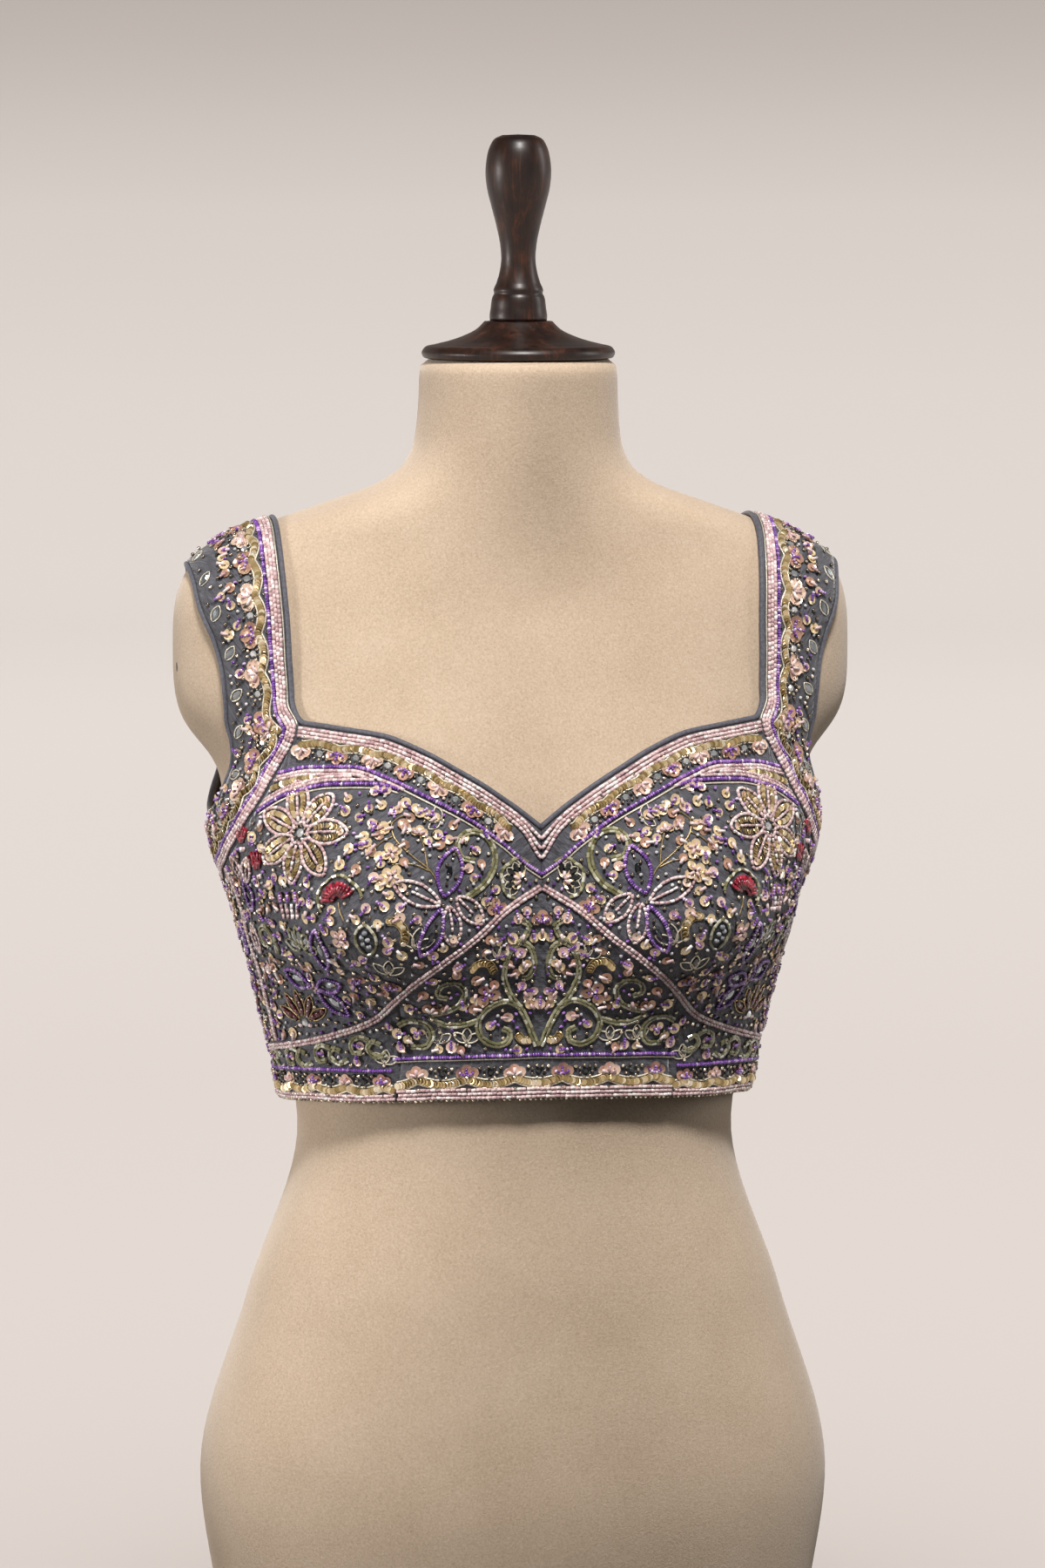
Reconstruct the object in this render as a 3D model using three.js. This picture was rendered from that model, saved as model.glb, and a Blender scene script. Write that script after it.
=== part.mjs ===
// A sweetheart crop top on a limbless dress form, in millimetres, +Z up. The form faces -Y and stands
// on the plane z = 0, centred on the Z axis. Left and right are the wearer's: left is at +X.
//
// A place on the body is given by a turn from the centre front, in degrees, and a height. Every cloth
// piece is a wall laid on the form's own skin, moved out along the skin's normal by the ease there.
import * as THREE from "three";

// ---------------------------------------------------------------- driving sizes
const WALL = 2.0; // thickness of the lined, beaded cloth
const SEAM_GAP = 0.3; // between two pieces at a seam
const PIPING_RADIUS = 1.4;
const PIPING_RISE = 0.9; // centre of the piping below the face of the cloth, less than half a wall off it
const PIPING_SIDES = 6;
const REST_GAP = 0.3; // between hard pieces that stand on each other

// One row per level of the form: height, half width at the side, depth in front of and behind the
// centre line, how far that centre line stands back, and how square the section is.
const FORM_LEVELS = [
  { z: 20, side: 160, front: 98, back: 104, set: 2, square: 2.3 },
  { z: 90, side: 169, front: 106, back: 116, set: 2, square: 2.3 },
  { z: 190, side: 143, front: 97, back: 96, set: 0, square: 2.2 },
  { z: 280, side: 116.5, front: 86, back: 74, set: -2, square: 2.15 },
  { z: 320, side: 122.5, front: 90, back: 79, set: -2, square: 2.15 },
  { z: 360, side: 133, front: 97, back: 86, set: -2, square: 2.2 },
  { z: 405, side: 146, front: 105, back: 93, set: 0, square: 2.25 },
  { z: 445, side: 155, front: 105, back: 97, set: 2, square: 2.3 },
  { z: 490, side: 156, front: 97, back: 99, set: 4, square: 2.3 },
  { z: 530, side: 155, front: 87, back: 98, set: 6, square: 2.25 },
  { z: 560, side: 153, front: 79, back: 94, set: 7, square: 2.15 },
  { z: 580, side: 150, front: 73, back: 89, set: 7, square: 2.05 },
  { z: 591, side: 143, front: 70, back: 85, set: 6, square: 2.0 },
  { z: 601, side: 129, front: 67, back: 81, set: 3, square: 2.0 },
  { z: 612, side: 101, front: 63, back: 74, set: -3, square: 2.0 },
  { z: 622, side: 74, front: 60, back: 66, set: -9, square: 2.0 },
  { z: 632, side: 60.5, front: 58, back: 60, set: -13, square: 2.0 },
  { z: 645, side: 54.8, front: 55, back: 56, set: -16, square: 2.0 },
  { z: 665, side: 52.7, front: 53.5, back: 54, set: -18, square: 2.0 },
  { z: 684, side: 51.8, front: 53, back: 53, set: -19, square: 2.0 },
  { z: 688, side: 47.5, front: 49, back: 49, set: -19, square: 2.0 },
];
const FORM_BOTTOM = 20.3;
const NECK_TOP = 688;
const NECK_SET = -19; // the neck and everything on it stand this far forward

// The fullness that the cups are cut for: a smooth rise on each side of the centre front.
const BUST = { turn: 36, z: 402, rise: 29, spread: 23, above: 60, below: 36 };

// The rounded end where an arm would start: a squarish ball set into the side of the torso.
const STUB = { x: 118, y: 8, z: 534.5, rx: 63, ry: 50, rz: 58, square: 3.2, round: 2.2, blend: 18 };

// How far the cloth's face stands off the skin, at the centre front, the sides and the centre back.
const EASE_LEVELS = [
  { z: 296, front: 9.0, side: 8.0, back: 7.5 },
  { z: 322, front: 6.6, side: 7.8, back: 6.4 },
  { z: 350, front: 4.6, side: 7.0, back: 5.0 },
  { z: 380, front: 3.5, side: 5.6, back: 4.2 },
  { z: 410, front: 3.3, side: 5.6, back: 3.8 },
  { z: 430, front: 3.3, side: 8.0, back: 3.8 },
  { z: 450, front: 3.3, side: 7.6, back: 3.6 },
  { z: 480, front: 3.2, side: 3.6, back: 3.4 },
  { z: 560, front: 3.2, side: 3.1, back: 3.2 },
  { z: 590, front: 3.1, side: 2.9, back: 3.1 },
];

// Edges and seams of the pieces, as height against turn.
const NECKLINE = [
  { turn: 0, z: 447.4 },
  { turn: 9.6, z: 461 },
  { turn: 23.4, z: 477.3 },
  { turn: 33, z: 487.3 },
  { turn: 42, z: 494 },
  { turn: 52, z: 497.2 },
  { turn: 60.4, z: 499.5 },
];
const UNDERBUST = [
  { turn: 0, z: 419.3 },
  { turn: 9.6, z: 408.1 },
  { turn: 17.6, z: 394.1 },
  { turn: 25.5, z: 381.8 },
  { turn: 36.9, z: 363.9 },
  { turn: 44.8, z: 351 },
  { turn: 53.2, z: 343.1 },
  { turn: 68.8, z: 333.1 },
  { turn: 90, z: 324 },
];
const HEM = [
  { turn: 0, z: 308 },
  { turn: 30, z: 307 },
  { turn: 43, z: 305.4 },
  { turn: 67, z: 302.5 },
  { turn: 90, z: 298 },
  { turn: 135, z: 297 },
  { turn: 180, z: 298 },
];
const YOKE_SEAM = [
  { turn: 60.4, z: 499.5 },
  { turn: 64, z: 469.5 },
  { turn: 69.6, z: 445.7 },
  { turn: 78, z: 427 },
  { turn: 90, z: 413 },
];
const BACK_TOP = [
  { turn: 90, z: 445.5 },
  { turn: 96, z: 450 },
  { turn: 102, z: 466 },
  { turn: 105, z: 481 },
  { turn: 107, z: 497 },
  { turn: 121, z: 500 },
  { turn: 129, z: 488 },
  { turn: 143, z: 476 },
  { turn: 160, z: 468 },
  { turn: 180, z: 465 },
];
const STRAP_BACK = { arm: 107, neck: 121 }; // turns where the strap meets the back panel
const PRINCESS = { top: 37.5, bottom: 42.8 }; // turns of the princess seam at its two ends
const SIDE_SEAM = 90;

// The front armhole edge of the yoke, from the underarm up, matched row by row to the yoke seam.
const YOKE_ROWS = [
  { seam: 90, arm: 90, z: 445.5 },
  { seam: 85, arm: 87, z: 446.6 },
  { seam: 78, arm: 83.5, z: 451 },
  { seam: 72, arm: 80.5, z: 458.5 },
  { seam: 67, arm: 78.3, z: 467 },
  { seam: 63.4, arm: 76.6, z: 478 },
  { seam: 60.4, arm: 75.8, z: 489.7 },
];

// The strap above the yoke: rays about a line along X inside the shoulder. Each row gives the ray's
// lift (0 is straight forward, 90 up, 180 back) and the distance from the middle at each edge.
const STRAP_AXIS = { y: 2, z: 520 };
const STRAP_ROWS = [
  { step: 0, neckLift: -16.5, neck: 123.6, armLift: -39.5, arm: 152.8 },
  { step: 1, neckLift: 10, neck: 125, armLift: -2, arm: 154.6 },
  { step: 2, neckLift: 38, neck: 126.4, armLift: 32, arm: 159.5 },
  { step: 3, neckLift: 66, neck: 128.2, armLift: 64, arm: 168 },
  { step: 4, neckLift: 93, neck: 129, armLift: 93, arm: 170.8 },
  { step: 5, neckLift: 120, neck: 127.4, armLift: 123, arm: 167.6 },
  { step: 6, neckLift: 146, neck: 124, armLift: 153, arm: 160.6 },
  { step: 7, neckLift: 172, neck: 120, armLift: 184, arm: 155 },
];

// How finely the faceted pieces are cut.
const CUP_ROWS = 10;
const MIDRIFF_ROWS = 9;
const STRAP_CUTS = 26; // along the strap above the yoke
const BACK_ROWS = 11;
const ACROSS_STRAP = 5;
const CENTRE_TURNS = [0, 6.5, 13, 19.5, 25.5, 31.5, 37.5];
const CUP_SIDE_TURNS = [45, 53, 60.4];
const BACK_OUTER_TURNS = [90, 93.5, 97, 100.5, 104, 107];
const BACK_INNER_TURNS = [125, 130, 137, 145, 153.5, 162, 171, 180];
const TORSO_COLUMNS = 56;
const TORSO_ROWS = 44;
const RIDGE_CROWDING = 0.22; // how much the torso's columns crowd towards the shoulders

// Turned wood: outlines from the axis out and back, as radius and height.
const CAP_OUTLINE = [
  [0, 688.3], [46.5, 688.3], [50.2, 689.3], [51, 691.6], [49.6, 694.2], [44, 695.9],
  [36.5, 697.8], [28.5, 700.6], [22, 704], [17.9, 708], [0, 708],
];
const FINIAL_OUTLINE = [
  [0, 708.3], [15, 708.3], [15.2, 710], [14.6, 715], [13.6, 721], [12.8, 722.6], [13.1, 724],
  [11.6, 728], [9.9, 734], [9.1, 740], [9.6, 748], [11.6, 758], [14.3, 768.5], [16.5, 777.5],
  [17.3, 785], [16.8, 792.5], [15.2, 799], [12.6, 803.4], [8.5, 805.4], [0, 805.8],
];
const TURNED_SIDES = 24;
const BOARD = { halfWidth: 168, halfDepth: 113, setBack: 6, edge: 3, height: 20, sides: 40 };

const COLOURS = {
  cloth: 0x6b6c75, piping: 0x5d5a66, linen: 0xdcc4a8, darkWood: 0x33251f,
};

// ---------------------------------------------------------------- tables as smooth curves
// A curve through a table's rows: cubic between rows, with slopes that never overshoot a row.
function curveOf(rows, key, value) {
  const x = rows.map((row) => row[key]);
  const y = rows.map((row) => row[value]);
  const steps = x.slice(1).map((right, i) => right - x[i]);
  const slopes = steps.map((step, i) => (y[i + 1] - y[i]) / step);
  const tangents = y.map((_, i) => {
    if (i === 0) return slopes[0];
    if (i === y.length - 1) return slopes[i - 1];
    const before = slopes[i - 1];
    const after = slopes[i];
    if (before * after <= 0) return 0;
    const nearAfter = 2 * steps[i] + steps[i - 1];
    const nearBefore = steps[i] + 2 * steps[i - 1];
    return (nearAfter + nearBefore) / (nearAfter / before + nearBefore / after);
  });
  return (at) => {
    const held = Math.min(Math.max(at, x[0]), x[x.length - 1]);
    let i = x.length - 2;
    while (i > 0 && held < x[i]) i -= 1;
    const h = steps[i];
    const u = (held - x[i]) / h;
    return (
      y[i] * (1 + 2 * u) * (1 - u) ** 2 +
      tangents[i] * h * u * (1 - u) ** 2 +
      y[i + 1] * u * u * (3 - 2 * u) +
      tangents[i + 1] * h * u * u * (u - 1)
    );
  };
}

const radians = THREE.MathUtils.degToRad;
const sideAt = curveOf(FORM_LEVELS, "z", "side");
const frontAt = curveOf(FORM_LEVELS, "z", "front");
const backAt = curveOf(FORM_LEVELS, "z", "back");
const setAt = curveOf(FORM_LEVELS, "z", "set");
const squareAt = curveOf(FORM_LEVELS, "z", "square");
const easeFront = curveOf(EASE_LEVELS, "z", "front");
const easeSide = curveOf(EASE_LEVELS, "z", "side");
const easeBack = curveOf(EASE_LEVELS, "z", "back");
const neckline = curveOf(NECKLINE, "turn", "z");
const underbust = curveOf(UNDERBUST, "turn", "z");
const hem = curveOf(HEM, "turn", "z");
const yokeSeam = curveOf(YOKE_SEAM, "turn", "z");
const backTop = curveOf(BACK_TOP, "turn", "z");
const neckLift = curveOf(STRAP_ROWS, "step", "neckLift");
const neckSide = curveOf(STRAP_ROWS, "step", "neck");
const armLift = curveOf(STRAP_ROWS, "step", "armLift");
const armSide = curveOf(STRAP_ROWS, "step", "arm");

// ---------------------------------------------------------------- the form's skin
// Distance from the centre line to the torso's skin, for a turn in radians: a superellipse with
// unequal front and back, plus the two rises of the bust.
function torsoRadius(turn, z) {
  const sine = Math.abs(Math.sin(turn));
  const cosine = Math.cos(turn);
  const depth = cosine > 0 ? frontAt(z) : backAt(z);
  const n = squareAt(z);
  const shell = ((sine / sideAt(z)) ** n + (Math.abs(cosine) / depth) ** n) ** (-1 / n);
  const aside = Math.abs(Math.atan2(Math.sin(turn), cosine));
  const near = (aside - radians(BUST.turn)) / radians(BUST.spread);
  const far = (aside + radians(BUST.turn)) / radians(BUST.spread);
  const up = (z - BUST.z) / (z > BUST.z ? BUST.above : BUST.below);
  return shell + BUST.rise * Math.exp(-up * up) * (Math.exp(-near * near) + Math.exp(-far * far));
}

// Below zero inside the form: the torso joined to the two stubs with a soft fillet between them.
function formField(x, y, z) {
  const behind = y - setAt(z);
  const torso = Math.hypot(x, behind) - torsoRadius(Math.atan2(x, -behind), z);
  const across = Math.abs((Math.abs(x) - STUB.x) / STUB.rx) ** STUB.square;
  const along = Math.abs((z - STUB.z) / STUB.rz) ** STUB.square;
  const outline = (across + along) ** (STUB.round / STUB.square);
  const reach = (outline + Math.abs((y - STUB.y) / STUB.ry) ** STUB.round) ** (1 / STUB.round);
  const stub = (reach - 1) * STUB.ry;
  const h = Math.min(Math.max(0.5 + (0.5 * (stub - torso)) / STUB.blend, 0), 1);
  return stub * (1 - h) + torso * h - STUB.blend * h * (1 - h);
}

// The skin's outward normal, from differences of the field half a millimetre apart.
function skinNormal(p) {
  const e = 0.25;
  return new THREE.Vector3(
    formField(p.x + e, p.y, p.z) - formField(p.x - e, p.y, p.z),
    formField(p.x, p.y + e, p.z) - formField(p.x, p.y - e, p.z),
    formField(p.x, p.y, p.z + e) - formField(p.x, p.y, p.z - e),
  ).normalize();
}

// Where a ray from inside the form leaves it, found by halving.
function leave(origin, direction) {
  let inside = 5;
  let outside = 240;
  const p = new THREE.Vector3();
  for (let step = 0; step < 40; step += 1) {
    const middle = (inside + outside) / 2;
    p.copy(origin).addScaledVector(direction, middle);
    if (formField(p.x, p.y, p.z) < 0) inside = middle;
    else outside = middle;
  }
  return p;
}

// The skin at a turn in degrees and a height, on the wearer's left.
function skinAtTurn(turn, z) {
  const a = radians(turn);
  const origin = new THREE.Vector3(0, setAt(z), z);
  return leave(origin, new THREE.Vector3(Math.sin(a), -Math.cos(a), 0));
}

// The skin seen from a line along X inside the shoulder, at a distance x from the middle.
function skinAtLift(x, lift) {
  const a = radians(lift);
  const origin = new THREE.Vector3(x, STRAP_AXIS.y, STRAP_AXIS.z);
  return leave(origin, new THREE.Vector3(0, -Math.cos(a), Math.sin(a)));
}

// How far the cloth's face stands off the skin at a point: the front or back value turns into the side
// value with the fourth power of the sine of the turn.
function easeAt(p) {
  const turn = Math.atan2(p.x, setAt(p.z) - p.y);
  const toSide = Math.sin(turn) ** 4;
  const plain = Math.cos(turn) > 0 ? easeFront(p.z) : easeBack(p.z);
  return plain * (1 - toSide) + easeSide(p.z) * toSide;
}

// ---------------------------------------------------------------- cloth
// A skin point, with the face and the lining of the cloth over it.
function clothOver(skin) {
  const normal = skinNormal(skin);
  const ease = easeAt(skin);
  return {
    skin,
    normal,
    ease,
    face: skin.clone().addScaledVector(normal, ease),
    lining: skin.clone().addScaledVector(normal, ease - WALL),
  };
}

// Faces of a closed wall over a grid of cloth places. Rows run up, places in a row run from the
// wearer's right to left, so the outer faces point away from the body.
function wallGeometry(grid, mirrored) {
  const rows = grid.length;
  const columns = grid[0].length;
  const sign = mirrored ? -1 : 1;
  const positions = [];
  for (const layer of ["face", "lining"]) {
    for (const row of grid) {
      for (const place of row) positions.push(sign * place[layer].x, place[layer].y, place[layer].z);
    }
  }
  const index = [];
  const quad = (a, b, c, d) => {
    if (mirrored) index.push(a, c, b, a, d, c);
    else index.push(a, b, c, a, c, d);
  };
  const at = (row, column, lining) => (lining ? rows * columns : 0) + row * columns + column;
  for (let r = 0; r < rows - 1; r += 1) {
    for (let c = 0; c < columns - 1; c += 1) {
      quad(at(r, c), at(r, c + 1), at(r + 1, c + 1), at(r + 1, c));
      quad(at(r, c, 1), at(r + 1, c, 1), at(r + 1, c + 1, 1), at(r, c + 1, 1));
    }
    quad(at(r, 0, 1), at(r, 0), at(r + 1, 0), at(r + 1, 0, 1));
    quad(at(r, columns - 1), at(r, columns - 1, 1), at(r + 1, columns - 1, 1), at(r + 1, columns - 1));
  }
  for (let c = 0; c < columns - 1; c += 1) {
    quad(at(0, c, 1), at(0, c + 1, 1), at(0, c + 1), at(0, c));
    quad(at(rows - 1, c), at(rows - 1, c + 1), at(rows - 1, c + 1, 1), at(rows - 1, c, 1));
  }
  return indexed(positions, index);
}

function indexed(positions, index) {
  const geometry = new THREE.BufferGeometry();
  geometry.setAttribute("position", new THREE.Float32BufferAttribute(positions, 3));
  geometry.setIndex(index);
  geometry.computeVertexNormals();
  return geometry;
}

// Half a seam gap measured up the body, where the seam runs at a slope: longer where it is steep.
function seamShare(curve, turn) {
  const step = 0.5;
  const rise = curve(turn + step) - curve(turn - step);
  const middle = skinAtTurn(turn, curve(turn));
  const run = radians(2 * step) * Math.hypot(middle.x, middle.y);
  return (SEAM_GAP / 2) * Math.hypot(1, rise / run);
}

// Half a seam gap as a turn, in degrees, at a height on the side of the body.
function gapTurn(turn, z) {
  const p = skinAtTurn(turn, z);
  return THREE.MathUtils.radToDeg(SEAM_GAP / 2 / Math.hypot(p.x, p.y));
}

const stepsTo = (count) => Array.from({ length: count + 1 }, (_, i) => i / count);

// A panel between two level curves: for each turn of its top edge, a column that leans from the turn
// at the bottom. Seam shares draw the top and bottom edges in, and the ends are drawn in by a gap.
function panelGrid({ turns, bottomTurns = turns, bottom, top, bottomShare, topShare, rows }) {
  return stepsTo(rows).map((up) =>
    turns.map((topTurn, column) => {
      const turn = bottomTurns[column] + (topTurn - bottomTurns[column]) * up;
      const low = bottom(turn) + bottomShare(turn);
      const high = top(turn) - topShare(turn);
      return clothOver(skinAtTurn(turn, low + (high - low) * up));
    }),
  );
}

// Turns with the first and last drawn in by half a seam gap.
function drawnIn(turns, z, drawFirst, drawLast) {
  const out = [...turns];
  const last = out.length - 1;
  if (drawFirst) out[0] += gapTurn(out[0], z);
  if (drawLast) out[last] -= gapTurn(out[last], z);
  return out;
}

const noShare = () => 0;
const yokeTurns = YOKE_ROWS.map((row) => row.seam).reverse();
const cupTurns = [...CENTRE_TURNS, ...CUP_SIDE_TURNS, ...yokeTurns.slice(1)];
const sideTurns = cupTurns.slice(CENTRE_TURNS.length - 1);

function cupTop(turn) {
  return turn < YOKE_SEAM[0].turn ? neckline(turn) : yokeSeam(turn);
}

function cupGrid() {
  return panelGrid({
    turns: drawnIn(cupTurns, 400, true, true),
    bottom: underbust,
    top: cupTop,
    bottomShare: (turn) => seamShare(underbust, turn),
    topShare: (turn) => (turn < YOKE_SEAM[0].turn ? 0 : seamShare(yokeSeam, turn)),
    rows: CUP_ROWS,
  });
}

const leanOut = (turn) => (turn * PRINCESS.bottom) / PRINCESS.top;

function midriffCentreGrid() {
  const half = drawnIn(CENTRE_TURNS, 340, false, true);
  const turns = [...half.slice(1).map((turn) => -turn).reverse(), ...half];
  const mirror = (curve) => (turn) => curve(Math.abs(turn));
  return panelGrid({
    turns,
    bottomTurns: turns.map(leanOut),
    bottom: mirror(hem),
    top: mirror(underbust),
    bottomShare: noShare,
    topShare: (turn) => seamShare(mirror(underbust), turn),
    rows: MIDRIFF_ROWS,
  });
}

function midriffSideGrid() {
  const turns = drawnIn(sideTurns, 340, true, true);
  const first = turns[0];
  const last = turns[turns.length - 1];
  const lean = (turn) => leanOut(first) + ((turn - first) / (last - first)) * (last - leanOut(first));
  return panelGrid({
    turns,
    bottomTurns: turns.map(lean),
    bottom: hem,
    top: underbust,
    bottomShare: noShare,
    topShare: (turn) => seamShare(underbust, turn),
    rows: MIDRIFF_ROWS,
  });
}

// Turns across the end of the strap, shared by the strap and the back panel.
const strapEndTurns = stepsTo(ACROSS_STRAP).map(
  (share) => STRAP_BACK.arm + (STRAP_BACK.neck - STRAP_BACK.arm) * share,
);

function backGrid() {
  const turns = [...BACK_OUTER_TURNS, ...strapEndTurns.slice(1), ...BACK_INNER_TURNS];
  const underStrap = (turn) => turn >= STRAP_BACK.arm && turn <= STRAP_BACK.neck;
  return panelGrid({
    turns: drawnIn(turns, 400, true, true),
    bottom: hem,
    top: backTop,
    bottomShare: noShare,
    topShare: (turn) => (underStrap(turn) ? SEAM_GAP / 2 : 0),
    rows: BACK_ROWS,
  });
}

// The strap's rows from the side seam, up the yoke, over the shoulder and down to the back panel. Each
// row runs from the neck edge to the armhole edge.
function strapGrid() {
  const across = stepsTo(ACROSS_STRAP);
  const mix = (from, to, share) => from + (to - from) * share;
  const yoke = YOKE_ROWS.map((row) => {
    const draw = row.seam === SIDE_SEAM ? gapTurn(SIDE_SEAM, row.z) : 0;
    const seamZ = yokeSeam(row.seam) + seamShare(yokeSeam, row.seam);
    return across.map((share) =>
      clothOver(skinAtTurn(mix(row.seam, row.arm, share) - draw, mix(seamZ, row.z, share))),
    );
  });
  const lastStep = STRAP_ROWS[STRAP_ROWS.length - 1].step;
  const strap = stepsTo(STRAP_CUTS).slice(1).map((along) => {
    const step = along * lastStep;
    return across.map((share) =>
      clothOver(
        skinAtLift(
          mix(neckSide(step), armSide(step), share),
          mix(neckLift(step), armLift(step), share),
        ),
      ),
    );
  });
  const end = strapEndTurns.map((turn) => clothOver(skinAtTurn(turn, backTop(turn) + SEAM_GAP / 2)));
  return [...yoke, ...strap, end.reverse()];
}

// ---------------------------------------------------------------- piping
// A cord along an edge: a ring of points round each centre, in the plane of the skin's normal and the
// direction away from the cloth. outward is +1 or -1, the side of the path on which the cord lies.
function pipingGeometry(path, outward, closed, mirrored) {
  const count = path.length;
  const neighbour = (i) => (closed ? (i + count) % count : Math.min(Math.max(i, 0), count - 1));
  const angles = stepsTo(PIPING_SIDES).slice(1).map((share) => share * 2 * Math.PI);
  const positions = [];
  path.forEach((place, i) => {
    const along = path[neighbour(i + 1)].skin.clone().sub(path[neighbour(i - 1)].skin).normalize();
    const away = along.clone().cross(place.normal).normalize().multiplyScalar(outward);
    const centre = place.skin
      .clone()
      .addScaledVector(place.normal, place.ease - PIPING_RISE)
      .addScaledVector(away, PIPING_RADIUS + SEAM_GAP);
    for (const angle of angles) {
      const p = centre
        .clone()
        .addScaledVector(away, PIPING_RADIUS * Math.cos(angle))
        .addScaledVector(place.normal, PIPING_RADIUS * Math.sin(angle));
      // An end at the middle of the body is mitred to the plane half a gap from it.
      if (!closed && (i === 0 || i === count - 1)) p.addScaledVector(along, (SEAM_GAP / 2 - p.x) / along.x);
      positions.push(mirrored ? -p.x : p.x, p.y, p.z);
    }
  });
  const index = [];
  const flip = mirrored === outward > 0;
  const triangle = (a, b, c) => (flip ? index.push(a, b, c) : index.push(a, c, b));
  const rings = closed ? count : count - 1;
  for (let i = 0; i < rings; i += 1) {
    for (let k = 0; k < PIPING_SIDES; k += 1) {
      const a = i * PIPING_SIDES + k;
      const b = i * PIPING_SIDES + ((k + 1) % PIPING_SIDES);
      const c = neighbour(i + 1) * PIPING_SIDES + ((k + 1) % PIPING_SIDES);
      const d = neighbour(i + 1) * PIPING_SIDES + k;
      triangle(a, b, c);
      triangle(a, c, d);
    }
  }
  if (!closed) {
    const last = (count - 1) * PIPING_SIDES;
    for (let k = 1; k < PIPING_SIDES - 1; k += 1) {
      triangle(0, k + 1, k);
      triangle(last, last + k, last + k + 1);
    }
  }
  return indexed(positions, index);
}

const edgeAt = (turn, curve) => clothOver(skinAtTurn(turn, curve(turn)));

// The neck edge from the centre front, up the strap, over the shoulder and down to the centre back.
function neckPath() {
  const strap = strapGrid();
  const strapRows = strap.slice(YOKE_ROWS.length, strap.length - 1);
  return [
    ...cupTurns.filter((turn) => turn < YOKE_SEAM[0].turn).map((turn) => edgeAt(turn, neckline)),
    ...strapRows.map((row) => row[0]),
    ...BACK_INNER_TURNS.map((turn) => edgeAt(turn, backTop)),
  ];
}

// The armhole edge, all round: up the yoke and strap, over the shoulder and down the back panel.
function armholePath() {
  const front = strapGrid().map((row) => row[ACROSS_STRAP]);
  const back = BACK_OUTER_TURNS.slice(1, -1).reverse().map((turn) => edgeAt(turn, backTop));
  return [...front, ...back];
}

// ---------------------------------------------------------------- the dress form
// Heights of the torso's rows: they crowd where the outline at the side or over the bust turns.
function torsoHeights() {
  const samples = [];
  let travelled = 0;
  for (let z = FORM_BOTTOM; z <= NECK_TOP; z += 1) {
    const side = skinAtTurn(SIDE_SEAM, z);
    const bust = skinAtTurn(BUST.turn, z);
    if (samples.length) {
      const before = samples[samples.length - 1];
      travelled += 0.5 + 0.5 * side.distanceTo(before.side) + bust.distanceTo(before.bust) * 0.5;
      travelled += z > UNDERBUST[UNDERBUST.length - 1].z ? 0.7 : 0;
    }
    samples.push({ z, side, bust, travelled });
  }
  return stepsTo(TORSO_ROWS).map((share) => {
    if (share === 1) return NECK_TOP;
    return samples.find((sample) => sample.travelled >= share * travelled).z;
  });
}

function torsoGeometry() {
  const heights = torsoHeights();
  const positions = [];
  for (const z of heights) {
    for (let column = 0; column < TORSO_COLUMNS; column += 1) {
      const even = (column / TORSO_COLUMNS) * 2 * Math.PI;
      const turn = even + RIDGE_CROWDING * Math.sin(2 * even);
      const p = skinAtTurn(THREE.MathUtils.radToDeg(turn), z);
      positions.push(p.x, p.y, p.z);
    }
  }
  const bottomMiddle = positions.length / 3;
  positions.push(0, setAt(FORM_BOTTOM), heights[0]);
  positions.push(0, NECK_SET, NECK_TOP);
  const index = [];
  const at = (row, column) => row * TORSO_COLUMNS + (column % TORSO_COLUMNS);
  for (let column = 0; column < TORSO_COLUMNS; column += 1) {
    for (let row = 0; row < TORSO_ROWS; row += 1) {
      const corners = [at(row, column), at(row, column + 1), at(row + 1, column + 1), at(row + 1, column)];
      index.push(corners[0], corners[1], corners[2], corners[0], corners[2], corners[3]);
    }
    index.push(bottomMiddle, at(0, column + 1), at(0, column));
    index.push(bottomMiddle + 1, at(TORSO_ROWS, column), at(TORSO_ROWS, column + 1));
  }
  return indexed(positions, index);
}

// A turned piece: its outline spun about the neck's upright axis.
function turnedGeometry(outline) {
  const points = outline.map(([radius, height]) => new THREE.Vector2(radius, height));
  const geometry = new THREE.LatheGeometry(points, TURNED_SIDES);
  geometry.rotateX(Math.PI / 2);
  geometry.translate(0, NECK_SET, 0);
  return geometry;
}

// The board under the form: an oval with a small bevel round its top and bottom edges.
function boardGeometry() {
  const shape = new THREE.Shape();
  shape.absellipse(0, BOARD.setBack, BOARD.halfWidth - BOARD.edge, BOARD.halfDepth - BOARD.edge, 0, 2 * Math.PI);
  const geometry = new THREE.ExtrudeGeometry(shape, {
    depth: BOARD.height - 2 * BOARD.edge,
    bevelThickness: BOARD.edge,
    bevelSize: BOARD.edge,
    bevelSegments: 1,
    curveSegments: BOARD.sides,
  });
  geometry.translate(0, 0, BOARD.edge);
  return geometry;
}

// ---------------------------------------------------------------- the group
const materials = {
  cloth: new THREE.MeshStandardMaterial({ color: COLOURS.cloth, roughness: 0.8 }),
  piping: new THREE.MeshStandardMaterial({ color: COLOURS.piping, roughness: 0.7 }),
  linen: new THREE.MeshStandardMaterial({ color: COLOURS.linen, roughness: 0.95 }),
  wood: new THREE.MeshStandardMaterial({ color: COLOURS.darkWood, roughness: 0.35 }),
};

const cropTop = new THREE.Group();

function add(name, geometry, material) {
  const mesh = new THREE.Mesh(geometry, material.clone());
  mesh.name = name;
  cropTop.add(mesh);
}

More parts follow.
